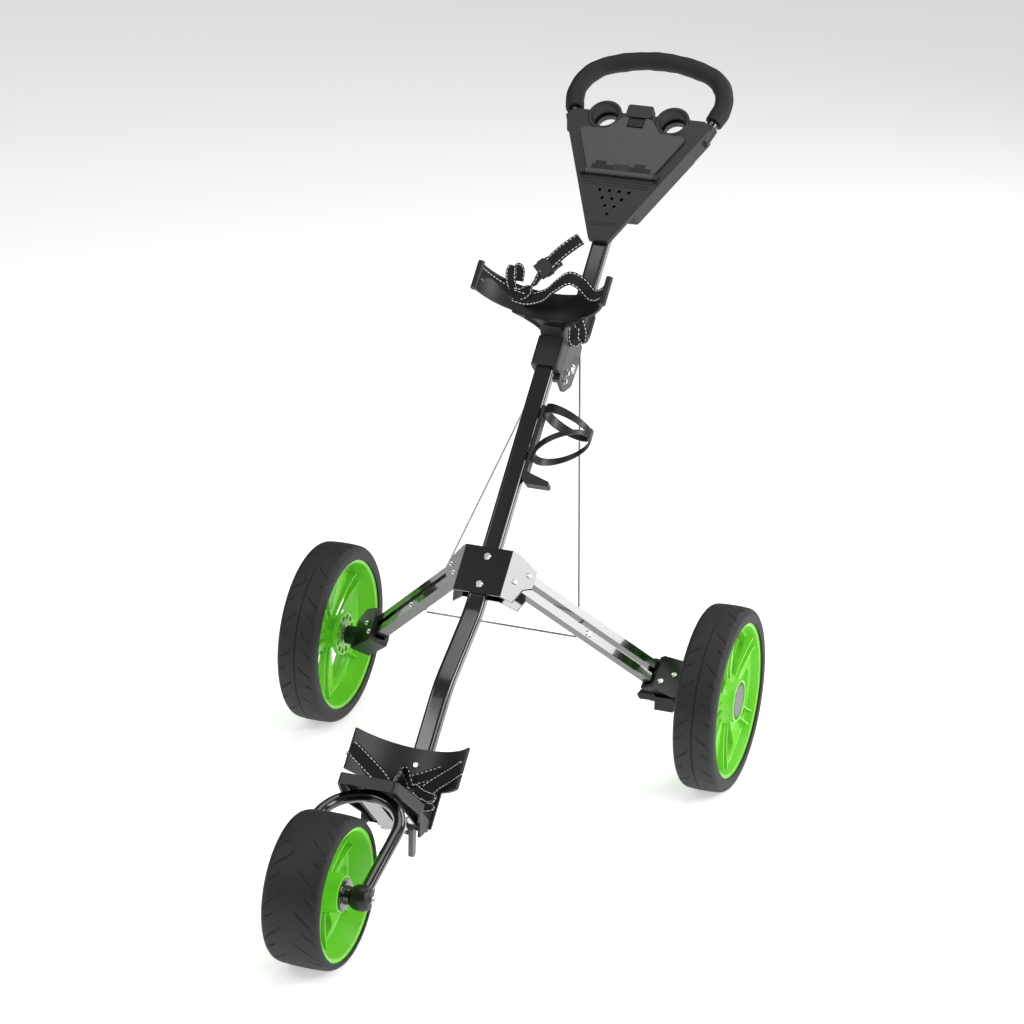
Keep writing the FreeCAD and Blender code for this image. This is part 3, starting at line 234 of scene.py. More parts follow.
def add_node(tree: bpy.types.NodeTree, kind: str, values: dict | None = None, **links) -> bpy.types.Node:
    """Add a node, set its inputs and link what feeds it.

    Args:
        tree: the node tree.
        kind: the node's type.
        values: input name or number to constant.
        links: input name, with underscores for spaces, to the output socket that feeds it.

    Returns:
        The new node.
    """
    node = tree.nodes.new(kind)
    for key, value in (values or {}).items():
        if isinstance(key, str) and hasattr(node, key) and key not in node.inputs:
            setattr(node, key, value)
        else:
            node.inputs[key].default_value = value
    for key, socket in links.items():
        tree.links.new(socket, node.inputs[key.replace("_", " ")])
    return node


class Paint:
    """Makes each finish's material once."""

    COAT_ROUGHNESS = 0.06
    GLOW_DEPTH = 0.01
    RELIEF_DEPTH = 0.0004
    # Noise per metre: the colour drifts over about 40 mm.
    DRIFT = 24.0
    _made: dict[str, bpy.types.Material] = {}

    @classmethod
    def of(cls, choice: Finishes) -> bpy.types.Material:
        """Material of a finish.

        Args:
            choice: which finish.

        Returns:
            The material, made the first time that it is asked for.
        """
        finish = choice.value
        if finish.name not in cls._made:
            cls._made[finish.name] = cls._make(finish)
        return cls._made[finish.name]

    @classmethod
    def _make(cls, finish: Finish) -> bpy.types.Material:
        """Build the shader: base, then bevelled edges, grain and colour drift where it has them.

        Args:
            finish: its settings.

        Returns:
            The material.
        """
        material = bpy.data.materials.new(finish.name)
        material.use_nodes = True
        tree = material.node_tree
        tree.nodes.clear()
        colour = linear(finish.colour)
        shader = add_node(tree, "ShaderNodeBsdfPrincipled", {
            "Base Color": colour, "Roughness": finish.roughness, "Metallic": finish.metallic,
            "Coat Weight": finish.coat, "Coat Roughness": cls.COAT_ROUGHNESS,
            "Subsurface Weight": finish.glow, "Subsurface Scale": cls.GLOW_DEPTH})
        output = add_node(tree, "ShaderNodeOutputMaterial", Surface=shader.outputs[0])
        output.is_active_output = True
        normal = None
        if finish.edge:
            normal = add_node(tree, "ShaderNodeBevel", {"samples": 6, "Radius": finish.edge}).outputs[0]
        if finish.grain:
            place = add_node(tree, "ShaderNodeTexCoord")
            noise = add_node(tree, "ShaderNodeTexNoise", {"Scale": 1 / finish.grain, "Detail": 2.0},
                             Vector=place.outputs["Object"])
            bump = add_node(tree, "ShaderNodeBump", {"Strength": finish.relief, "Distance": cls.RELIEF_DEPTH},
                            Height=noise.outputs[0])
            if normal is not None:
                tree.links.new(normal, bump.inputs["Normal"])
            normal = bump.outputs[0]
        if finish.mottle:
            place = add_node(tree, "ShaderNodeTexCoord")
            cloud = add_node(tree, "ShaderNodeTexNoise", {"Scale": cls.DRIFT, "Detail": 3.0},
                             Vector=place.outputs["Object"])
            low = tuple(c * (1 - finish.mottle) for c in colour[:3]) + (1.0,)
            high = tuple(min(1.0, c * (1 + finish.mottle)) for c in colour[:3]) + (1.0,)
            mix = add_node(tree, "ShaderNodeMix", {"data_type": "RGBA", 6: low, 7: high})
            tree.links.new(cloud.outputs[0], mix.inputs[0])
            tree.links.new(mix.outputs[2], shader.inputs["Base Color"])
        if normal is not None:
            tree.links.new(normal, shader.inputs["Normal"])
        return material


# ---- Meshes ---------------------------------------------------------------------------------------


def put(name: str, data: bpy.types.ID) -> bpy.types.Object:
    """Add an object to the scene.

    Args:
        name: its name.
        data: its mesh, light or camera.

    Returns:
        The object, at the origin.
    """
    made = bpy.data.objects.new(name, data)
    bpy.context.scene.collection.objects.link(made)
    return made


@dataclass
class Draft:
    """A mesh being drawn up, in metres."""

    points: list[Vector] = field(default_factory=list)
    faces: list[tuple[int, ...]] = field(default_factory=list)

    def grid(self, rows: Sequence[Sequence[Vector]], around: bool = False, closed: bool = False) -> None:
        """Add a sheet of quads between rows of points.

        Args:
            rows: rows of points, all of one length.
            around: True joins each row's ends.
            closed: True joins the last row to the first.
        """
        start = len(self.points)
        count, wide = len(rows), len(rows[0])
        for row in rows:
            self.points.extend(row)
        for i in range(count if closed else count - 1):
            for j in range(wide if around else wide - 1):
                a, b = start + i * wide, start + (i + 1) % count * wide
                k = (j + 1) % wide
                self.faces.append((a + j, a + k, b + k, b + j))

    def cap(self, ring: Sequence[Vector], flip: bool = False) -> None:
        """Close a ring with one face.

        Args:
            ring: the ring's points.
            flip: True turns the face over.
        """
        start = len(self.points)
        self.points.extend(ring)
        order = list(range(start, start + len(ring)))
        self.faces.append(tuple(reversed(order)) if flip else tuple(order))

    def solid(self, rows: Sequence[Sequence[Vector]]) -> None:
        """Add a closed skin over rings of points, with both ends capped.

        Args:
            rows: rings of points from one end to the other.
        """
        self.grid(rows, around=True)
        self.cap(rows[0], flip=True)
        self.cap(rows[-1])

    def box(self, place: Place, low: Sequence[float], high: Sequence[float], chamfer: float = 0.6) -> None:
        """Add a box with softened long edges.

        Args:
            place: the frame that the corners are in.
            low: lowest corner in millimetres.
            high: highest corner in millimetres.
            chamfer: size of the corner cut in millimetres.
        """
        x0, s0, h0 = low
        x1, s1, h1 = high
        c = min(chamfer, (x1 - x0) / 3, (h1 - h0) / 3)
        ring = [(x0 + c, h0), (x1 - c, h0), (x1, h0 + c), (x1, h1 - c), (x1 - c, h1), (x0 + c, h1),
                (x0, h1 - c), (x0, h0 + c)]
        self.solid([[place.at(x, s, h) for x, h in ring] for s in (s0, s1)])

    def build(self, name: str, finish: Finishes, smooth: float = 35.0) -> bpy.types.Object:
        """Make the object.

        Args:
            name: the object's name.
            finish: its finish.
            smooth: edges flatter than this many degrees are shaded smooth.

        Returns:
            The object, at the origin.
        """
        mesh = bpy.data.meshes.new(name)
        mesh.from_pydata([tuple(p) for p in self.points], [], self.faces)
        mesh.validate()
        mesh.materials.append(Paint.of(finish))
        made = put(name, mesh)
        tidy(made)
        soften(made, smooth)
        return made


def tidy(made: bpy.types.Object) -> None:
    """Merge doubled points and point the faces outwards.

    Args:
        made: the mesh object.
    """
    work = bmesh.new()
    work.from_mesh(made.data)
    bmesh.ops.remove_doubles(work, verts=work.verts, dist=1e-6)
    bmesh.ops.recalc_face_normals(work, faces=work.faces)
    work.to_mesh(made.data)
    work.free()


def soften(made: bpy.types.Object, degrees: float = 35.0) -> None:
    """Shade a mesh smooth up to an edge angle.

    Args:
        made: the mesh object.
        degrees: edges sharper than this stay sharp.
    """
    work = bmesh.new()
    work.from_mesh(made.data)
    limit = math.radians(degrees)
    for edge in work.edges:
        sharp = len(edge.link_faces) != 2 or edge.calc_face_angle(0.0) > limit
        edge.smooth = not sharp
    for face in work.faces:
        face.smooth = True
    work.to_mesh(made.data)
    work.free()


def circle(centre: Vector, across: Vector, up: Vector, radius: float, steps: int) -> list[Vector]:
    """Points round a circle.

    Args:
        centre: the middle.
        across: unit direction of the first point.
        up: unit direction a quarter turn on.
        radius: in metres.
        steps: how many points.

    Returns:
        The points.
    """
    turns = (2 * math.pi * k / steps for k in range(steps))
    return [centre + across * (radius * math.cos(a)) + up * (radius * math.sin(a)) for a in turns]


def turned(centre: Vector, way: int, profile: Sequence[tuple[float, float]],
           steps: int) -> list[list[Vector]]:
    """Rings of a shape turned about an axle.

    Args:
        centre: the wheel's middle, in metres.
        way: 1 for the right side, -1 for the left.
        profile: (distance across, radius) points in millimetres.
        steps: how many points go round.

    Returns:
        One ring for each point of the profile.
    """
    return [circle(centre + AXLE * (way * x * MM), Vector((0, 1, 0)), Vector((0, 0, way)), r * MM, steps)
            for x, r in profile]


def smooth_path(points: Sequence[Vector], steps: int = 10) -> list[Vector]:
    """Run a Catmull-Rom curve through points.

    Args:
        points: the points to pass through.
        steps: pieces between each pair.

    Returns:
        Points along the curve.
    """
    full = [points[0] * 2 - points[1], *points, points[-1] * 2 - points[-2]]
    path = []
    for i in range(1, len(full) - 2):
        a, b, c, d = full[i - 1:i + 3]
        for k in range(steps):
            t = k / steps
            path.append(0.5 * ((2 * b) + (c - a) * t + (2 * a - 5 * b + 4 * c - d) * t * t
                               + (3 * b - a - 3 * c + d) * t ** 3))
    path.append(points[-1].copy())
    return path


def rounded_path(corners: Sequence[tuple[float, float, float]],
                 step: float = 4.0) -> list[tuple[float, float]]:
    """Lay a flat path with rounded corners, at even spacing.

    Args:
        corners: (across, along, corner radius) points in millimetres.
        step: spacing in millimetres.

    Returns:
        Points along the path in millimetres.
    """
    raw = [Vector(corners[0][:2])]
    for before, here, after in zip(corners, corners[1:], corners[2:]):
        spot, radius = Vector(here[:2]), here[2]
        back = (Vector(before[:2]) - spot).normalized()
        ahead = (Vector(after[:2]) - spot).normalized()
        half = back.angle(ahead) / 2
        centre = spot + (back + ahead).normalized() * radius / math.sin(half)
        first = spot + back * radius / math.tan(half)
        last = spot + ahead * radius / math.tan(half)
        for k in range(ARC_STEPS + 1):
            chord = first.lerp(last, k / ARC_STEPS) - centre
            raw.append(centre + chord.normalized() * radius)
    raw.append(Vector(corners[-1][:2]))
    gone = [0.0]
    for a, b in zip(raw, raw[1:]):
        gone.append(gone[-1] + (b - a).length)
    count = max(2, round(gone[-1] / step))
    marks = np.linspace(0, gone[-1], count + 1)
    across = np.interp(marks, gone, [p.x for p in raw])
    along = np.interp(marks, gone, [p.y for p in raw])
    return list(zip(across.tolist(), along.tolist()))


def tangents(path: Sequence[Vector]) -> list[Vector]:
    """Unit direction of a path at each of its points.

    Args:
        path: the points.

    Returns:
        One direction for each point.
    """
    last = len(path) - 1
    return [(path[min(i + 1, last)] - path[max(i - 1, 0)]).normalized() for i in range(len(path))]


# ---- Geometry Nodes -------------------------------------------------------------------------------


class NodeTool:
    """Geometry Nodes tree that lays copies and paints them; subclasses say what is copied where."""

    NAME = ""
    INPUTS: dict[str, str] = {}
    WELD = 0.0

    def __init__(self) -> None:
        """Make the tree: copies, realized, welded where asked, then painted."""
        tree = self.tree = bpy.data.node_groups.new(self.NAME, "GeometryNodeTree")
        kinds = {"Geometry": "Geometry", **self.INPUTS, "Finish": "Material"}
        self.sockets = {
            key: tree.interface.new_socket(name=key, in_out="INPUT", socket_type=f"NodeSocket{kind}")
            for key, kind in kinds.items()}
        tree.interface.new_socket(name="Geometry", in_out="OUTPUT", socket_type="NodeSocketGeometry")
        self.given = add_node(tree, "NodeGroupInput").outputs
        shape = add_node(tree, "GeometryNodeRealizeInstances", Geometry=self.copies()).outputs[0]
        if self.WELD:
            weld = add_node(tree, "GeometryNodeMergeByDistance", {"Distance": self.WELD}, Geometry=shape)
            shape = weld.outputs[0]
        painted = add_node(tree, "GeometryNodeSetMaterial", Geometry=shape, Material=self.given["Finish"])
        add_node(tree, "NodeGroupOutput", Geometry=painted.outputs[0])

    def copies(self) -> bpy.types.NodeSocket:
        """Lay the copies.

        Returns:
            The socket that gives them as instances.
        """
        raise NotImplementedError

    def bake(self, source: bpy.types.Object, name: str, finish: Finishes, smooth: float,
             **values) -> bpy.types.Object:
        """Turn an object's Geometry Nodes result into a plain mesh object.

        Args:
            source: the object that the tree starts from; it is removed.
            name: the new object's name.
            finish: its finish.
            smooth: shading limit in degrees.
            values: input name to value.

        Returns:
            The new object.
        """
        modifier = source.modifiers.new("Nodes", "NODES")
        modifier.node_group = self.tree
        for key, value in {**values, "Finish": Paint.of(finish)}.items():
            modifier[self.sockets[key].identifier] = value
        graph = bpy.context.evaluated_depsgraph_get()
        mesh = bpy.data.meshes.new_from_object(source.evaluated_get(graph))
        source.modifiers.remove(modifier)
        mesh.name = name
        made = put(name, mesh)
        bpy.data.objects.remove(source)
        soften(made, smooth)
        return made


class Repeater(NodeTool):
    """Repeats a mesh round an axis and welds the joins."""

    NAME = "RadialRepeat"
    INPUTS = {"Count": "Int", "Centre": "Vector", "Axis": "Vector"}
    WELD = 1e-5

    def copies(self) -> bpy.types.NodeSocket:
        """Turn each copy by its share of a full turn.

        Returns:
            The socket that gives them as instances.
        """
        tree, given = self.tree, self.given
        line = add_node(tree, "GeometryNodeMeshLine", {"Offset": (0.0, 0.0, 0.0)}, Count=given["Count"],
                        Start_Location=given["Centre"])
        index = add_node(tree, "GeometryNodeInputIndex")
        share = add_node(tree, "ShaderNodeMath", {"operation": "DIVIDE"})
        tree.links.new(index.outputs[0], share.inputs[0])
        tree.links.new(given["Count"], share.inputs[1])
        angle = add_node(tree, "ShaderNodeMath", {"operation": "MULTIPLY", 1: 2 * math.pi})
        tree.links.new(share.outputs[0], angle.inputs[0])
        turn = add_node(tree, "FunctionNodeAxisAngleToRotation", Axis=given["Axis"], Angle=angle.outputs[0])
        return add_node(tree, "GeometryNodeInstanceOnPoints", Points=line.outputs[0],
                        Instance=given["Geometry"], Rotation=turn.outputs[0]).outputs[0]

    def run(self, unit: Draft, name: str, finish: Finishes, count: int, centre: Vector,
            axis: Vector, smooth: float = 35.0) -> bpy.types.Object:
        """Repeat a unit mesh.

        Args:
            unit: one copy, drawn about the origin.
            name: the finished object's name.
            finish: its finish.
            count: how many copies.
            centre: a point on the axis.
            axis: the axis direction.
            smooth: shading limit in degrees.

        Returns:
            The finished object.
        """
        source = unit.build(name + "_unit", finish, smooth)
        return self.bake(source, name, finish, smooth, Count=count, Centre=tuple(centre), Axis=tuple(axis))


def wire_mesh(name: str, points: Sequence[Vector], edges: Sequence[tuple[int, int]] = ()) -> bpy.types.Object:
    """Object of bare points and edges for a tree to start from.

    Args:
        name: its name.
        points: in metres.
        edges: pairs of point numbers.

    Returns:
        The object.
    """
    mesh = bpy.data.meshes.new(name)
    mesh.from_pydata([tuple(p) for p in points], list(edges), [])
    return put(name, mesh)


class Stitcher(NodeTool):
    """Sews dashes of thread along lines."""

    NAME = "Stitches"
    INPUTS = {"Pitch": "Float", "Length": "Float", "Radius": "Float"}

    def copies(self) -> bpy.types.NodeSocket:
        """Lay a dash at each pitch, along the line.

        Returns:
            The socket that gives them as instances.
        """
        tree, given = self.tree, self.given
        curve = add_node(tree, "GeometryNodeMeshToCurve", Mesh=given["Geometry"])
        spots = add_node(tree, "GeometryNodeResampleCurve", {"mode": "LENGTH"}, Curve=curve.outputs[0],
                         Length=given["Pitch"])
        along = add_node(tree, "GeometryNodeInputTangent")
        turn = add_node(tree, "FunctionNodeAlignRotationToVector", {"axis": "Z"}, Vector=along.outputs[0])
        dash = add_node(tree, "GeometryNodeMeshCylinder", {"Vertices": 6}, Radius=given["Radius"],
                        Depth=given["Length"])
        return add_node(tree, "GeometryNodeInstanceOnPoints", Points=spots.outputs[0],
                        Instance=dash.outputs[0], Rotation=turn.outputs[0]).outputs[0]

    def run(self, lines: Sequence[Sequence[Vector]], name: str, pitch: float = 0.0062, length: float = 0.0037,
            radius: float = 0.0007) -> bpy.types.Object:
        """Sew along lines.

        Args:
            lines: each line's points.
            name: the finished object's name.
            pitch: distance between dashes, in metres.
            length: length of a dash, in metres.
            radius: half thickness of the thread, in metres.

        Returns:
            The finished object.
        """
        points, edges = [], []
        for line in lines:
            start = len(points)
            points.extend(line)
            edges.extend((k, k + 1) for k in range(start, len(points) - 1))
        source = wire_mesh(name + "_line", points, edges)
        return self.bake(source, name, Finishes.THREAD, 60.0, Pitch=pitch, Length=length, Radius=radius)


class RingPlacer(NodeTool):
    """Lays a small round bead at each point."""

    NAME = "RingPlacer"
    INPUTS = {"Radius": "Float", "Bead": "Float", "Facing": "Vector"}

    def copies(self) -> bpy.types.NodeSocket:
        """Sweep one bead and lay it at each point, facing one way.

        Returns:
            The socket that gives them as instances.
        """
        tree, given = self.tree, self.given
        ring, section = (add_node(tree, "GeometryNodeCurvePrimitiveCircle", {"Resolution": count},
                                  Radius=given[key]) for key, count in (("Radius", 20), ("Bead", 8)))
        bead = add_node(tree, "GeometryNodeCurveToMesh", Curve=ring.outputs[0],
                        Profile_Curve=section.outputs[0])
        turn = add_node(tree, "FunctionNodeAlignRotationToVector", {"axis": "Z"}, Vector=given["Facing"])
        return add_node(tree, "GeometryNodeInstanceOnPoints", Points=given["Geometry"],
                        Instance=bead.outputs[0], Rotation=turn.outputs[0]).outputs[0]

    def run(self, points: Sequence[Vector], name: str, finish: Finishes, radius: float, bead: float,
            facing: Vector) -> bpy.types.Object:
        """Lay the beads.

        Args:
            points: where they go.
            name: the finished object's name.
            finish: their finish.
            radius: ring radius in metres.
            bead: half thickness in metres.
            facing: direction that the rings face.

        Returns:
            The finished object.
        """
        source = wire_mesh(name + "_points", points)
        return self.bake(source, name, finish, 60.0, Radius=radius, Bead=bead, Facing=tuple(facing))


@dataclass
class Workshop:
    """Tools shared by every sub-assembly."""

    repeater: Repeater
    stitcher: Stitcher
    placer: RingPlacer
    nodes: dict[str, bpy.types.Object]

    def fit(self, made: bpy.types.Object, body: str, slot: str,
            replaces: Iterable[str] = ()) -> bpy.types.Object:
        """Hand a finished piece to the frame.

        Args:
            made: the piece.
            body: the CAD body that it moves with.
            slot: the record's material slot; not used.
            replaces: CAD nodes that it stands for.

        Returns:
            The piece.
        """
        names = list(replaces)
        if names:
            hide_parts(*names)
        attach(made, body)
        LOG.info("%s: %d faces on %s", made.name, len(made.data.polygons), body)
        return made

    def draw(self, draft: Draft, name: str, finish: Finishes, body: str, replaces: Iterable[str] = (),
             smooth: float = 35.0) -> bpy.types.Object:
        """Build a draft and hand it to the frame.

        Args:
            draft: the mesh.
            name: the piece's name.
            finish: its finish.
            body: the CAD body that it moves with.
            replaces: CAD nodes that it stands for.
            smooth: shading limit in degrees.

        Returns:
            The piece.
        """
        return self.fit(draft.build(name, finish, smooth), body, finish.value.slot, replaces)


# ---- Sub-assemblies -------------------------------------------------------------------------------


class SubAssembly:
    """One part of the trolley that knows how to build its looks."""

    def build(self, workshop: Workshop) -> None:
        """Keep the shared tools and make the pieces.

        Args:
            workshop: the shared tools.
        """
        self.shop = workshop
        self.make()

    def make(self) -> None:
        """Draw the pieces and hand them to the frame."""
        raise NotImplementedError


@dataclass(frozen=True)
class TreadPattern:
    """Grooves moulded into a foam tyre.

    Args:
        repeats: how many times the pattern goes round.
        lean: how far a groove sweeps round, as a share of the pitch.
        depth: groove depth in millimetres.
        width: groove half width in millimetres.
        centre_line: half width of the groove round the middle, or 0 for none.
    """

    repeats: int
    lean: float
    depth: float
    width: float
    centre_line: float
    SPREAD: ClassVar[float] = 1.6

    def cut(self, turn: float, across: float, pitch: float) -> float:
        """Depth of the tread at a place.

        Args:
            turn: distance round the tread within one pitch, in millimetres.
            across: place across the tread, from -1 to 1.
            pitch: length of one pitch in millimetres.

        Returns:
            How far below the smooth tread the surface lies, in millimetres.
        """
        side = 0.0 if across >= 0 else 0.5
        reach = abs(across)
        depth = 0.0
        for offset, start, stop, bend in ((0.0, 0.14, 0.96, 1.5), (0.3, 0.42, 0.93, 1.25)):
            if not start < reach < stop:
                continue
            wave = 0.05 * math.sin(2 * math.pi * (reach - start) / (stop - start))
            line = (side + offset + self.lean * reach ** bend + wave) % 1.0
            gap = abs((turn / pitch - line + 0.5) % 1.0 - 0.5) * pitch
            taper = min(1.0, (reach - start) / 0.12, (stop - reach) / 0.12)
            reach_out = self.width * self.SPREAD
            if gap < reach_out:
                depth = max(depth, self.depth * taper * 0.5 * (1 + math.cos(math.pi * gap / reach_out)))
        return depth


@dataclass
class Tyre(SubAssembly):
    """Foam tyre with moulded grooves.

    Args:
        node: the CAD node that it stands for.
        body: the body that it moves with.
        centre: the wheel's middle, in millimetres.
        radius: tread radius.
        width: overall width.
        seat: inner radius.
        side: radius at the edge of the side wall.
        run: how far in from the side the tread starts.
        pattern: the grooves.
    """

    node: str
    body: str
    centre: tuple[float, float, float]
    radius: float
    width: float
    seat: float
    side: float
    run: float
    pattern: TreadPattern

    def profile(self) -> list[tuple[float, float]]:
        """Cross-section as (across, radius) from one side to the other.

        Returns:
            The points in millimetres.
        """
        half = self.width / 2
        corners = [(-half + 0.6, self.seat), (-half, self.seat + 2.5), (-half, self.side)]
        shoulder = [(-half + self.run * (1 - math.cos(a)) * 0.55,
                     self.side + (self.radius - 1.2 - self.side) * math.sin(a)) for a in
                    (math.radians(15 * k) for k in range(1, 6))]
        count = 46
        inner = half - self.run * 0.5
        tread = [(-inner + 2 * inner * k / count, self.radius - 1.2 * (abs(2 * k / count - 1)) ** 2.4)
                 for k in range(count + 1)]
        left = corners + shoulder
        return left + tread + [(-x, r) for x, r in reversed(left)]

    def make(self) -> None:
        """Draw one pitch of the tread and repeat it round the axle."""
        section = self.profile()
        pitch = 2 * math.pi * self.radius / self.pattern.repeats
        steps = max(20, round(pitch / 1.35))
        half = self.width / 2
        rows = []
        for k in range(steps + 1):
            angle = 2 * math.pi / self.pattern.repeats * k / steps
            row = []
            for x, r in section:
                sunk = 0.0
                if r > self.side + 1:
                    sunk = self.pattern.cut(pitch * k / steps, x / half, pitch)
                    if self.pattern.centre_line and abs(x) < self.pattern.centre_line:
                        sunk = max(sunk, self.pattern.depth * 0.8)
                radius = (r - sunk) * MM
                row.append(Vector((x * MM, radius * math.cos(angle), radius * math.sin(angle))))
            rows.append(row)
        unit = Draft()
        unit.grid(rows, around=True)
        made = self.shop.repeater.run(unit, self.node + "_tread", Finishes.TYRE, self.pattern.repeats,
                                      Vector(self.centre) * MM, AXLE, 28.0)
        self.shop.fit(made, self.body, "foam_tyre", [self.node])


@dataclass
class RimRidges(SubAssembly):
    """Raised ridges on a rim's five spokes.

    Args:
        name: the piece's name.
        body: the body that it moves with.
        centre: the wheel's middle, in millimetres.
        faces: places across the wheel of the spoke's faces, with the way each looks.
        inner: radius where a ridge starts.
        outer: radius where it ends.
        phase: angle of the first spoke in degrees.
    """

    name: str
    body: str
    centre: tuple[float, float, float]
    faces: tuple[tuple[float, int], ...]
    inner: float
    outer: float
    phase: float
    SPOKES: ClassVar[int] = 5

    def make(self) -> None:
        """Draw one spoke's ridges and repeat them."""
        unit = Draft()
        for level, way in self.faces:
            for lean in (-1, 1):
                rows = []
                for k in range(9):
                    t = k / 8
                    radius = self.inner + (self.outer - self.inner) * t
                    offset = lean * (7.0 + 4.0 * t)
                    turn = math.radians(self.phase) + offset / radius
                    out = Vector((0, math.cos(turn), math.sin(turn)))
                    across = Vector((0, -out.z, out.y))
                    top = level + way * (3.5 + 9.0 * t ** 2)
                    base = Vector((level * MM, 0, 0)) + out * radius * MM
                    crest = Vector((top * MM, 0, 0)) + out * radius * MM
                    w = 1.3 * MM
                    rows.append([base - across * w * 1.3, crest - across * w, crest + across * w,
                                 base + across * w * 1.3])
                unit.solid(rows)
        made = self.shop.repeater.run(unit, self.name, Finishes.LIME, self.SPOKES, Vector(self.centre) * MM,
                                      AXLE, 30.0)
        self.shop.fit(made, self.body, "lime_plastic")


@dataclass
class HubRing(SubAssembly):
    """Lime ring that stands round a rear hub's cap, with a cone behind it.

    Args:
        side: which rear wheel.
    """

    side: Side
    PROFILE: ClassVar = ((20.5, 29.3), (30.6, 29.3), (31.6, 30.2), (31.6, 32.2), (30.6, 33.2), (22.0, 34.5),
                         (13.0, 40.0), (12.0, 38.0), (20.5, 31.0))

    def make(self) -> None:
        """Turn the ring about the axle."""
        centre = Vector((self.side.value * REAR_X, AXLE_Y, REAR_RADIUS)) * MM
        draft = Draft()
        draft.grid(turned(centre, self.side.value, self.PROFILE, 48), around=True, closed=True)
        word = self.side.word
        self.shop.draw(draft, f"rear_hub_ring_{word}", Finishes.LIME, f"rear_wheel_{word}", (), 30.0)


@dataclass
class Strap(SubAssembly):
    """Webbing laid along a line, with two rows of stitches.

    Args:
        name: the piece's name.
        line: points of the middle line, in the tube's frame.
        lean: direction across the webbing at each point, in the tube's frame.
        width: in millimetres.
        body: the body that it moves with.
        replaces: CAD nodes that it stands for.
    """

    name: str
    line: list[tuple[float, float, float]]
    lean: list[tuple[float, float, float]]
    width: float = 24.0
    body: str = "frame"
    replaces: tuple[str, ...] = ()
    # Pieces between two points, half the webbing's thickness, and how far out the seams lie, as
    # shares of the half width and the half thickness.
    STEPS: ClassVar[int] = 9
    HALF_THICK: ClassVar[float] = 0.8
    SEAM: ClassVar[float] = 0.78
    LIFT: ClassVar[float] = 1.25

    def make(self) -> None:
        """Sweep the webbing and sew it."""
        path = smooth_path([TUBE.at(*p) for p in self.line], self.STEPS)
        leans = smooth_path([TUBE.axis(*v) for v in self.lean], self.STEPS)
        half, thick = self.width / 2 * MM, self.HALF_THICK * MM
        rows, seams = [], {-1: [], 1: []}
        for point, along, lean in zip(path, tangents(path), leans):
            across = (lean - along * lean.dot(along)).normalized()
            up = along.cross(across)
            rows.append([point - across * half - up * thick, point - up * thick,
                         point + across * half - up * thick, point + across * half + up * thick,
                         point + up * thick, point - across * half + up * thick])
            for key in seams:
                for face in (-1, 1):
                    seam = point + across * half * self.SEAM * key + up * thick * self.LIFT * face
                    seams[key].append((seam, face))
        draft = Draft()
        draft.solid(rows)
        self.shop.draw(draft, self.name, Finishes.WEBBING, self.body, self.replaces, 50.0)
        lines = [[p for p, face in seams[key] if face == want] for key in seams for want in (-1, 1)]
        made = self.shop.stitcher.run(lines, self.name + "_stitches")
        self.shop.fit(made, self.body, "webbing")


def even(value: tuple[float, float, float], count: int) -> list[tuple[float, float, float]]:
    """Repeat a direction for each point of a line.

    Args:
        value: the direction.
        count: how many points.

    Returns:
        The list.
    """
    return [value] * count


class UpperStraps(SubAssembly):
    """Bag strap in the upper cradle: two ends, the buckle and the loose tail."""

    def make(self) -> None:
        """Make the straps and the buckle."""
        left = [(-101, 440, 118), (-90, 440, 95), (-72, 438, 76), (-52, 438, 66), (-36, 448, 68),
                (-26, 460, 76), (-18, 472, 84)]
        Strap("upper_strap_left", left, even((0.1, 1, 0.15), 3) + even((0.5, 0.8, 0.2), 4), width=21.0,
              replaces=("upper_strap",)).build(self.shop)
        right = [(101, 440, 116), (88, 440, 96), (70, 444, 84), (52, 456, 94), (34, 458, 102), (12, 448, 90),
                 (-10, 438, 72), (-38, 434, 62), (-58, 434, 68)]
        Strap("upper_strap_right", right, even((0.1, 1, 0.1), 3) + even((0.25, 0.9, 0.3), 6),
              width=21.0).build(self.shop)
        loop = [(-62, 444, 72), (-64, 452, 86), (-62, 460, 100), (-56, 468, 102), (-52, 468, 90),
                (-54, 456, 76)]
        Strap("upper_strap_loop", loop, even((0.8, 0.5, 0.2), 6), width=15.0).build(self.shop)
        bunch = [(20, 446, 30), (32, 436, 14), (38, 424, -4), (36, 412, -18), (30, 408, -8), (30, 420, 6)]
        Strap("upper_strap_bunch", bunch, even((0.7, 0.6, 0.3), 6), width=18.0).build(self.shop)
        self._buckle()

    def _buckle(self) -> None:
        """Side-release buckle on the left strap."""
        body = Draft()
        pivot = TUBE.at(-12, 480, 88)
        turned = Place(tuple(pivot / MM), TUBE.slope)
        tilt = Matrix.Rotation(math.radians(-42), 3, TUBE.axis(0, 0, 1))
        for low, high in (((-14, -16, -4), (14, 10, 4)), ((-13, 10, -3.4), (-10, 22, 3.4)),
                          ((10, 10, -3.4), (13, 22, 3.4)), ((-13, 19, -3.4), (13, 22, 3.4)),
                          ((-17, -8, -2.4), (-13.4, 4, 2.4)), ((13.4, -8, -2.4), (17, 4, 2.4))):
            body.box(turned, low, high, 1.2)
        body.points = [pivot + tilt @ (p - pivot) for p in body.points]
        self.shop.draw(body, "upper_buckle", Finishes.DARK, "frame", ["strap_buckle"])
        tail = [(-6, 486, 92), (8, 502, 98), (26, 520, 102), (34, 528, 102)]
        Strap("upper_strap_tail", tail, even((0.75, -0.66, 0.1), 4)).build(self.shop)


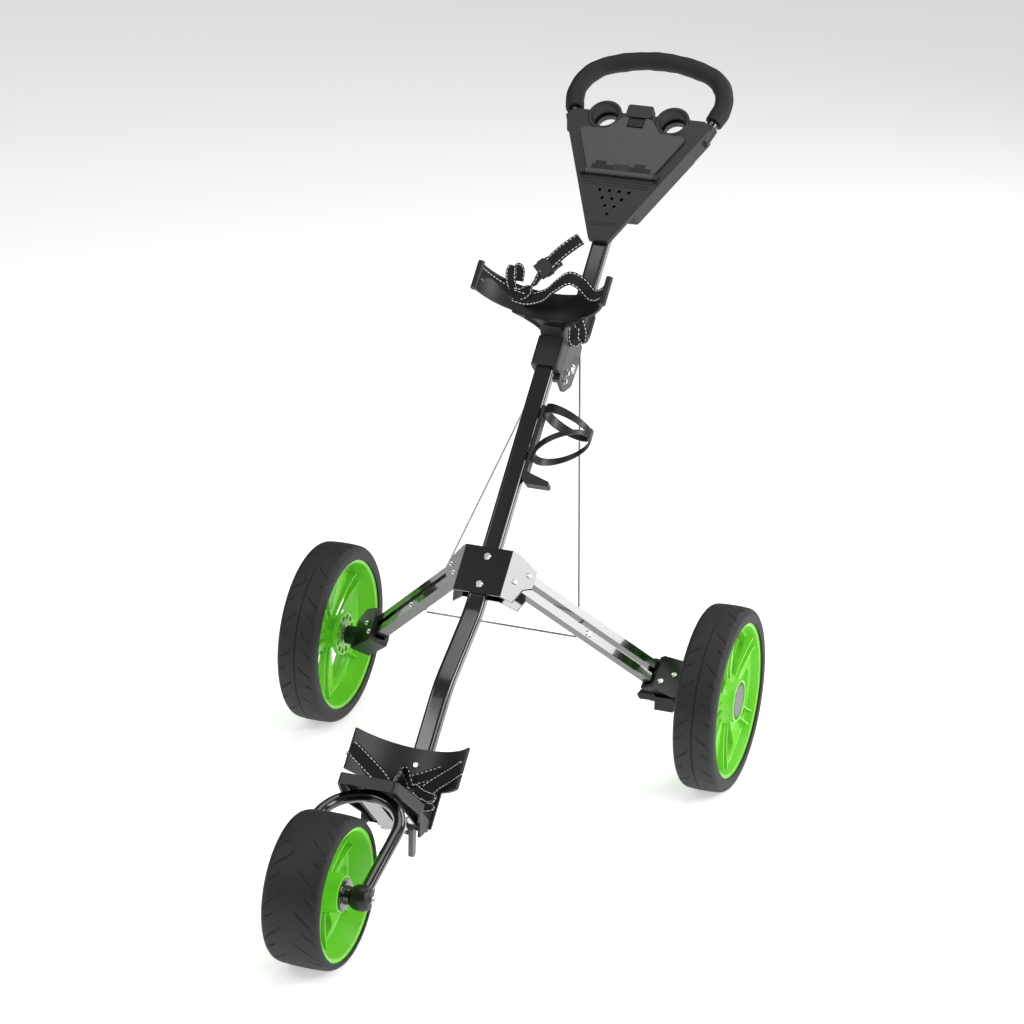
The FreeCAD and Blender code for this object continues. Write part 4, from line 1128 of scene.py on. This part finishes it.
class CradleRibs(SubAssembly):
    """Two stiffening ribs on the front of the upper cradle's flare."""

    def make(self) -> None:
        """Draw both ribs."""
        draft = Draft()
        for way in (-1, 1):
            rows = []
            for x, h in ((17, 14), (20, 26), (26, 38), (36, 52)):
                rows.append([TUBE.at(way * x - 1.2, 408.5, h), TUBE.at(way * x, 404.5, h),
                             TUBE.at(way * x + 1.2, 408.5, h)])
            draft.solid(rows)
        self.shop.draw(draft, "upper_cradle_ribs", Finishes.DARK, "frame")


class LowerStraps(SubAssembly):
    """Bag strap across the lower cradle, with its bunched end on the right."""

    def make(self) -> None:
        """Make the straps."""
        left = [(-85, -338, 95), (-68, -348, 76), (-46, -362, 62), (-26, -378, 56), (-6, -386, 55)]
        Strap("lower_strap_left", left, even((0.35, 0.93, 0.1), 5),
              replaces=("lower_strap",)).build(self.shop)
        right = [(86, -340, 97), (68, -346, 78), (46, -358, 64), (30, -372, 58), (16, -388, 56)]
        lean = even((-0.3, 0.95, 0.1), 3) + even((-0.8, 0.6, 0.1), 2)
        Strap("lower_strap_right", right, lean).build(self.shop)
        bunch = [(16, -372, 62), (30, -380, 68), (46, -386, 78), (58, -392, 92), (56, -402, 94),
                 (44, -400, 80), (32, -394, 70)]
        Strap("lower_strap_bunch", bunch, even((0.35, 0.75, 0.5), 7), width=18.0).build(self.shop)
        tail = [(6, -356, 53), (20, -350, 55), (34, -344, 58), (44, -340, 62)]
        Strap("lower_strap_tail", tail, even((-0.4, 0.9, 0.1), 4), width=18.0).build(self.shop)
        fold = [(-24, -372, 54), (-18, -358, 60), (-10, -346, 64), (-4, -352, 58), (4, -366, 54)]
        Strap("lower_strap_fold", fold, even((0.5, 0.4, 0.75), 5), width=18.0).build(self.shop)


@dataclass(frozen=True)
class Band:
    """One closed band of the bottle cage.

    Args:
        root: its level on the tube at the rail.
        tip: its level at the far side.
        width: its width at the rail, in millimetres.
    """

    root: float
    tip: float
    width: float


class BottleCage(SubAssembly):
    """Two moulded bands round the bottle that meet at the far side."""

    MIDDLE = (61.5, -2.0)
    RADII = (37.6, 40.4)
    BANDS = (Band(276.0, 253.0, 17.0), Band(200.0, 247.0, 13.0))

    def make(self) -> None:
        """Make the bands and the button where they meet."""
        draft = Draft()
        for band in self.BANDS:
            self._ring(draft, band)
        x, h = self.MIDDLE
        reach = x + self.RADII[1]
        draft.box(TUBE, (reach - 3.4, 242, h - 6), (reach + 1.2, 259, h + 6), 1.0)
        self.shop.draw(draft, "bottle_cage_bands", Finishes.BLACK, "frame", ["bottle_cage"], 40.0)

    def _ring(self, draft: Draft, band: Band) -> None:
        """Add one band.

        Args:
            draft: where it goes.
            band: its levels and width.
        """
        middle_x, middle_h = self.MIDDLE
        inner, outer = self.RADII
        rows = []
        for k in range(72):
            angle = 2 * math.pi * k / 72
            share = (1 - math.cos(angle)) / 2
            level = band.root + (band.tip - band.root) * share
            half = band.width / 2 * (1 - 0.45 * share)
            ring = []
            for radius, s in ((inner, -half), (outer, -half), (outer, half), (inner, half)):
                ring.append(TUBE.at(middle_x - radius * math.cos(angle), level + s,
                                    middle_h + radius * math.sin(angle)))
            rows.append(ring)
        draft.grid(rows, around=True, closed=True)


class ConsoleTrim(SubAssembly):
    """Lips, ridges and clips on the console."""

    def make(self) -> None:
        """Make the trim."""
        self._cup_lips()
        self._tee_rims()
        self._steps()
        self._lid()

    def _cup_lips(self) -> None:
        """Rounded lips round the two ball cups."""
        draft = Draft()
        for x in (-58.0, 58.0):
            rows = []
            for k in range(64):
                a = 2 * math.pi * k / 64
                ring = []
                for j in range(10):
                    b = math.pi * (j / 9)
                    r = 25.55 + 2.9 * math.cos(b)
                    height = 1.6 * math.sin(b) - 0.02
                    ring.append(CONSOLE.at(x + r * math.cos(a), 243 + r * math.sin(a), height))
                rows.append(ring)
            draft.grid(rows, around=True, closed=True)
        self.shop.draw(draft, "cup_lips", Finishes.GREY, "handle")

    def _tee_rims(self) -> None:
        """Raised beads round the ten tee holes, in the paler lid grey as a painted highlight on their rims.
        """
        spots = []
        for row in range(4):
            count = 4 - row
            spots += [CONSOLE.at((k - (count - 1) / 2) * 16.5, 96 - 15 * row, 0.1) for k in range(count)]
        # Painted highlight: the beads take the paler lid grey for the bright rings round the holes.
        made = self.shop.placer.run(spots, "tee_hole_rim_highlights", Finishes.LID, 3.8 * MM, 0.55 * MM,
                                    CONSOLE.axis(0, 0, 1))
        self.shop.fit(made, "handle", "grey_plastic")

    @staticmethod
    def _half_width(v: float) -> float:
        """Half width of the tray, which widens evenly up the console.

        Args:
            v: distance up the console in millimetres.

        Returns:
            Half the width there in millimetres.
        """
        return 17 + v / 232 * 107

    def _steps(self) -> None:
        """Low ridges across the tray below the lid."""
        draft = Draft()
        for levels, inset, thick, high, chamfer in (((106.5, 111.5, 116.5), 12, 0.8, 0.7, 0.3),
                                                    ((30.0, 34.0), 10, 0.6, 0.5, 0.2)):
            for v in levels:
                half = self._half_width(v) - inset
                draft.box(CONSOLE, (-half, v - thick, -0.2), (half, v + thick, high), chamfer)
        self.shop.draw(draft, "tray_ridges", Finishes.GREY, "handle")

    def _lid(self) -> None:
        """Hinge channel and two clips on the lid in painted shade, and a grey bridge over the channel's
        middle.
        """
        channel = Draft()
        # Painted shade: the hinge channel and its two clips are dark boxes that stand for the shade along the
        # lid's hinge.
        channel.box(CONSOLE, (-50, 133.5, 4.3), (50, 142, 5.0), 0.3)
        for x in (-36, 30):
            channel.box(CONSOLE, (x - 9, 142, 4.3), (x + 9, 149, 5.0), 3.0)
        self.shop.draw(channel, "lid_channel_painted_shade", Finishes.SHADE, "lid")
        bridge = Draft()
        bridge.box(CONSOLE, (-13, 131, 4.4), (13, 144.5, 6.2), 0.8)
        self.shop.draw(bridge, "lid_bridge", Finishes.GREY, "lid")


@dataclass
class HandleGrip(SubAssembly):
    """Foam sleeve on the handlebar's loop, a little uneven as foam is.

    Args:
        foot: half width and distance up the console where the legs start.
        corner: the rounded corner, with its radius.
        crown: the middle of the crown, with its radius.
        level: how far the loop lies below the console's top.
        start: distance up the console where the foam starts.
        radius: the foam's radius.
    """

    foot: tuple[float, float] = (113.0, 238.0)
    corner: tuple[float, float, float] = (141.0, 337.0, 66.0)
    crown: tuple[float, float, float] = (0.0, 388.0, 220.0)
    level: float = -19.5
    start: float = 262.0
    radius: float = 15.5
    # Radius that the foam's ends close in to, and how many faces go round.
    BORE: ClassVar[float] = 9.7
    SIDES: ClassVar[int] = 28

    def make(self) -> None:
        """Sweep the foam round the loop."""
        share = (self.start - self.foot[1]) / (self.corner[1] - self.foot[1])
        half = self.foot[0] + share * (self.corner[0] - self.foot[0])
        x, v, r = self.corner
        flat = rounded_path([(-half, self.start, 0), (-x, v, r), self.crown, (x, v, r),
                             (half, self.start, 0)])
        path = [CONSOLE.at(a, b, self.level) for a, b in flat]
        along = tangents(path)
        out = CONSOLE.axis(0, 0, 1)
        last = len(path) - 1
        rows = [circle(path[0], along[0].cross(out), out, self.BORE * MM, self.SIDES)]
        for k, (point, way) in enumerate(zip(path, along)):
            swell = 0.35 * math.sin(k * 0.41) + 0.25 * math.sin(k * 0.93 + 1.0) - 0.3
            edge = min(k, last - k)
            radius = self.radius + (swell if edge else -0.8)
            rows.append(circle(point, way.cross(out), out, radius * MM, self.SIDES))
        rows.append(circle(path[-1], along[-1].cross(out), out, self.BORE * MM, self.SIDES))
        draft = Draft()
        draft.grid(rows, around=True)
        self.shop.draw(draft, "foam_grip_sleeve", Finishes.GRIP, "handle", ["handle_grip"], 50.0)


class TwistLock(SubAssembly):
    """Grip ribs round the shaft's locking collar."""

    RIBS = 18

    def make(self) -> None:
        """Draw one rib and repeat it."""
        unit = Draft()
        here = Place((0.0, 0.0, 0.0), TUBE.slope)
        unit.box(here, (-1.4, -17, 22.8), (1.4, 17, 24.9), 0.6)
        made = self.shop.repeater.run(unit, "twist_lock_ribs", Finishes.BLACK, self.RIBS,
                                      TUBE.at(0, 475, -84), TUBE.axis(0, 1, 0))
        self.shop.fit(made, "twist_lock", "black_plastic")


class FrontHub(SubAssembly):
    """Black flange on the front hub, the barrels at the fork's ends and the axle's nuts."""

    FLANGE = ((36.4, 8.0), (36.4, 22.0), (38.0, 23.0), (39.4, 22.0), (40.0, 14.0), (46.8, 12.5), (46.8, 6.2))
    BARREL = ((46.9, 6.2), (46.9, 12.0), (49.0, 14.5), (54.0, 17.6), (60.0, 18.2), (68.0, 18.0), (73.0, 16.0),
              (75.5, 12.0), (76.0, 6.3))
    NUT = ((75.8, 6.6), (79.0, 6.6), (79.0, 0.4))
    STUD = ((78.9, 4.6), (80.8, 3.8), (81.8, 2.0), (82.0, 0.3))

    def make(self) -> None:
        """Turn the flanges, barrels and nuts about the axle."""
        centre = Vector(FRONT_CENTRE) * MM
        flange, barrels, nuts = Draft(), Draft(), Draft()
        for side in Side:
            for draft, profile, steps in ((flange, self.FLANGE, 40), (barrels, self.BARREL, 40),
                                          (nuts, self.NUT, 6), (nuts, self.STUD, 20)):
                draft.grid(turned(centre, side.value, profile, steps), around=True)
        self.shop.draw(barrels, "front_axle_barrels", Finishes.BLACK, "fork", ["axle_end_caps"], 50.0)
        self.shop.draw(flange, "front_hub_flanges", Finishes.GLOSS, "front_wheel")
        self.shop.draw(nuts, "front_axle_nuts", Finishes.STEEL, "fork")


class Wires(SubAssembly):
    """Steel wires from the frame to the arms, drawn straight."""

    def make(self) -> None:
        """Make the arm wires and the limit wire, each straight between its two ends."""
        for side in Side:
            way = side.value
            for kind, node, start, end in (
                    ("arm_wire", "arm_wires", (way * 23.5, 412, -70), (way * 126.5, -27, -131)),
                    ("limit_wire", "limit_wire", (0, -29, -131), (way * 123, -29, -131))):
                self._wire(f"{kind}_{side.word}", TUBE.at(*start), TUBE.at(*end), side,
                           [node] if side is Side.RIGHT else [])

    @staticmethod
    def _wire(name: str, start: Vector, end: Vector, side: Side, replaces: list[str]) -> None:
        """Make one wire.

        Args:
            name: the piece's name.
            start: its end on the frame.
            end: its end on the lower arm.
            side: which arm it goes to.
            replaces: CAD nodes that it stands for.
        """
        along = (end - start).normalized()
        across = along.cross(Vector((0.3, 0.2, 1))).normalized()
        up = along.cross(across)
        draft = Draft()
        draft.solid([circle(start.lerp(end, k / 40), across, up, 1.5 * MM, 8) for k in range(41)])
        made = draft.build(name, Finishes.WIRE)
        if replaces:
            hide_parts(*replaces)
        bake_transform(made)
        LOG.info("%s bends between the frame and the arm", name)


class CadFinishes(SubAssembly):
    """Paints the CAD nodes that are shown as they are."""

    TABLE = {
        Finishes.GLOSS: ["main_tube", "upper_shaft", "front_fork", "handlebar", "upper_arm_right",
                         "lower_arm_right", "upper_arm_left", "lower_arm_left"],
        Finishes.PLATE: ["hub_front_plate", "hub_back_plate"],
        Finishes.STEEL: ["frame_bolts", "handle_hinge_pin", "fork_hinge_plates", "fork_hinge_pin",
                         "lid_hinge_pin", "front_axle", "pivot_bushes", "front_bearings", "brake_pin",
                         "arm_bolt_right", "arm_bolt_left", "housing_bolts_right", "housing_bolts_left",
                         "rear_axle_right", "rear_axle_left", "rear_bearings_right",
                         "rear_bearings_left"],
        Finishes.BLACK: ["hinge_collar", "handle_shoe", "upper_cradle", "bottle_rail", "axle_housing_right",
                         "axle_housing_left", "brake_box", "brake_pedal", "twist_lock_collar"],
        Finishes.DARK: ["lower_cradle", "foot_ledge"],
        Finishes.BLOCK: ["hinge_block"],
        Finishes.GREY: ["console_tray", "console_back"],
        # Painted shade: the latch takes the darkest black for the shade in its recess.
        Finishes.SHADE: ["lid_latch"],
        Finishes.LID: ["console_lid"],
        Finishes.CAP: ["hub_cap_right", "hub_cap_left", "fork_latch_lever"],
        Finishes.LIME: ["rear_rim_right", "rear_rim_left", "front_rim"],
    }

    def make(self) -> None:
        """Paint each node."""
        for finish, names in self.TABLE.items():
            for name in names:
                node = self.shop.nodes[name]
                node.data.materials.clear()
                node.data.materials.append(Paint.of(finish))
                LOG.info("%s painted %s", name, finish.value.name)


# ---- Studio ---------------------------------------------------------------------------------------


@dataclass(frozen=True)
class Lamp:
    """One soft area light.

    Args:
        name: its name.
        spot: where it stands, in metres.
        aim: what it looks at, in metres.
        power: in watts.
        size: width and height in metres.
    """

    name: str
    spot: tuple[float, float, float]
    aim: tuple[float, float, float]
    power: float
    size: tuple[float, float]


class Studio:
    """Floor, lights and camera."""

    LAMPS = (
        Lamp("key", (-2.6, -2.6, 3.4), (0, 0, 0.4), 70, (2.4, 2.4)),
        Lamp("fill", (3.4, -1.6, 2.2), (0, 0, 0.4), 60, (1.4, 3.0)),
        Lamp("top", (0.0, 0.6, 4.2), (0, 0, 0.3), 50, (3.0, 3.0)),
        Lamp("side", (2.6, 0.5, 1.5), (0, 0, 0.4), 34, (1.1, 0.9)),
        Lamp("back", (1.6, 3.4, 2.4), (0, 0.1, 0.5), 45, (2.6, 2.0)),
    )
    CAMERA = Vector((1.5518, AXLE_Y * MM - 4.2632, 2.0356))
    LOOK = Vector((-0.3259, 0.8824, -0.3393))
    UP = Vector((-0.1435, 0.3086, 0.9403))
    LENS = 109.4
    FLOOR_HALF = 30.0
    FLOOR_LEVEL = -0.0005

    def build(self) -> None:
        """Make the studio."""
        self._floor()
        for lamp in self.LAMPS:
            self._lamp(lamp)
        self._camera()
        self._world()

    def _floor(self) -> None:
        """Plain pale floor."""
        mesh = bpy.data.meshes.new("floor")
        r, z = self.FLOOR_HALF, self.FLOOR_LEVEL
        mesh.from_pydata([(-r, -r, z), (r, -r, z), (r, r, z), (-r, r, z)], [], [(0, 1, 2, 3)])
        material = bpy.data.materials.new("pale_floor")
        material.use_nodes = True
        shader = material.node_tree.nodes["Principled BSDF"]
        shader.inputs["Base Color"].default_value = linear("#f7f7f7")
        shader.inputs["Roughness"].default_value = 0.9
        shader.inputs["Specular IOR Level"].default_value = 0.0
        shader.inputs["Emission Color"].default_value = linear("#ffffff")
        shader.inputs["Emission Strength"].default_value = 0.5
        mesh.materials.append(material)
        put("floor", mesh)

    @staticmethod
    def _lamp(lamp: Lamp) -> None:
        """Add one light.

        Args:
            lamp: its settings.
        """
        data = bpy.data.lights.new(lamp.name, "AREA")
        data.shape = "RECTANGLE"
        data.size, data.size_y = lamp.size
        data.energy = lamp.power
        light = put(lamp.name, data)
        light.location = lamp.spot
        aim = Vector(lamp.aim) - Vector(lamp.spot)
        light.rotation_euler = aim.to_track_quat("-Z", "Y").to_euler()

    def _camera(self) -> None:
        """Camera at the reference view."""
        data = bpy.data.cameras.new("camera")
        data.lens = self.LENS
        data.sensor_width = 36.0
        data.clip_end = 100.0
        camera = put("camera", data)
        right = self.LOOK.cross(self.UP).normalized()
        up = right.cross(self.LOOK).normalized()
        turn = Matrix((right, up, -self.LOOK.normalized())).transposed().to_4x4()
        camera.matrix_world = Matrix.Translation(self.CAMERA) @ turn
        bpy.context.scene.camera = camera

    @staticmethod
    def _world() -> None:
        """Even white surroundings."""
        world = bpy.data.worlds.new("world")
        world.use_nodes = True
        tree = world.node_tree
        tree.nodes.clear()
        seen = add_node(tree, "ShaderNodeLightPath")
        shown = add_node(tree, "ShaderNodeBackground", {"Color": linear("#ffffff"), "Strength": 1.0})
        place = add_node(tree, "ShaderNodeTexCoord")
        height = add_node(tree, "ShaderNodeSeparateXYZ", Vector=place.outputs["Generated"])
        fade = add_node(tree, "ShaderNodeValToRGB", Fac=height.outputs["Z"])
        fade.color_ramp.elements[0].color = linear("#6a6a6c")
        fade.color_ramp.elements[1].color = linear("#ffffff")
        light = add_node(tree, "ShaderNodeBackground", {"Strength": 0.22}, Color=fade.outputs[0])
        mix = add_node(tree, "ShaderNodeMixShader", Fac=seen.outputs["Is Camera Ray"])
        tree.links.new(light.outputs[0], mix.inputs[1])
        tree.links.new(shown.outputs[0], mix.inputs[2])
        add_node(tree, "ShaderNodeOutputWorld", Surface=mix.outputs[0])
        scene = bpy.context.scene
        scene.world = world
        scene.view_settings.view_transform = "Standard"
        scene.view_settings.exposure = 0.0


# ---- The whole trolley ----------------------------------------------------------------------------


def parts() -> list[SubAssembly]:
    """Every sub-assembly.

    Returns:
        They are in building order.
    """
    rear = TreadPattern(repeats=16, lean=0.7, depth=1.7, width=1.2, centre_line=0.8)
    front = TreadPattern(repeats=13, lean=0.95, depth=1.7, width=1.2, centre_line=0.0)
    made: list[SubAssembly] = [CadFinishes()]
    for side in Side:
        centre = (side.value * REAR_X, AXLE_Y, REAR_RADIUS)
        body = f"rear_wheel_{side.word}"
        faces = ((side.value * 13.0, side.value), (side.value * 4.0, -side.value))
        made += [Tyre(f"rear_tyre_{side.word}", body, centre, REAR_RADIUS, 65.0, 122.0, 133.0, 17.0, rear),
                 RimRidges(f"rear_ridges_{side.word}", body, centre, faces, 27.0, 110.0, 36.0),
                 HubRing(side)]
    body = "front_wheel"
    made += [Tyre("front_tyre", body, FRONT_CENTRE, FRONT_RADIUS, 85.0, 94.0, 97.0, 24.0, front),
             RimRidges("front_ridges", body, FRONT_CENTRE, ((6.0, 1), (-6.0, -1)), 26.0, 84.0, 36.0),
             UpperStraps(), CradleRibs(), LowerStraps(), BottleCage(), ConsoleTrim(), HandleGrip(),
             TwistLock(), FrontHub(), Wires()]
    return made


def write_size() -> None:
    """Update the view layer, so that the objects' boxes are current."""
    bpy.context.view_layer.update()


def main() -> None:
    """Load the frame, build every piece and light it."""
    logging.basicConfig(level=logging.INFO, format="%(message)s")
    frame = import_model()
    write_size()
    shop = Workshop(Repeater(), Stitcher(), RingPlacer(), frame["nodes"])
    for part in parts():
        LOG.info("building %s", type(part).__name__)
        part.build(shop)
    Studio().build()
    write_size()


if __name__ == "__main__":
    main()
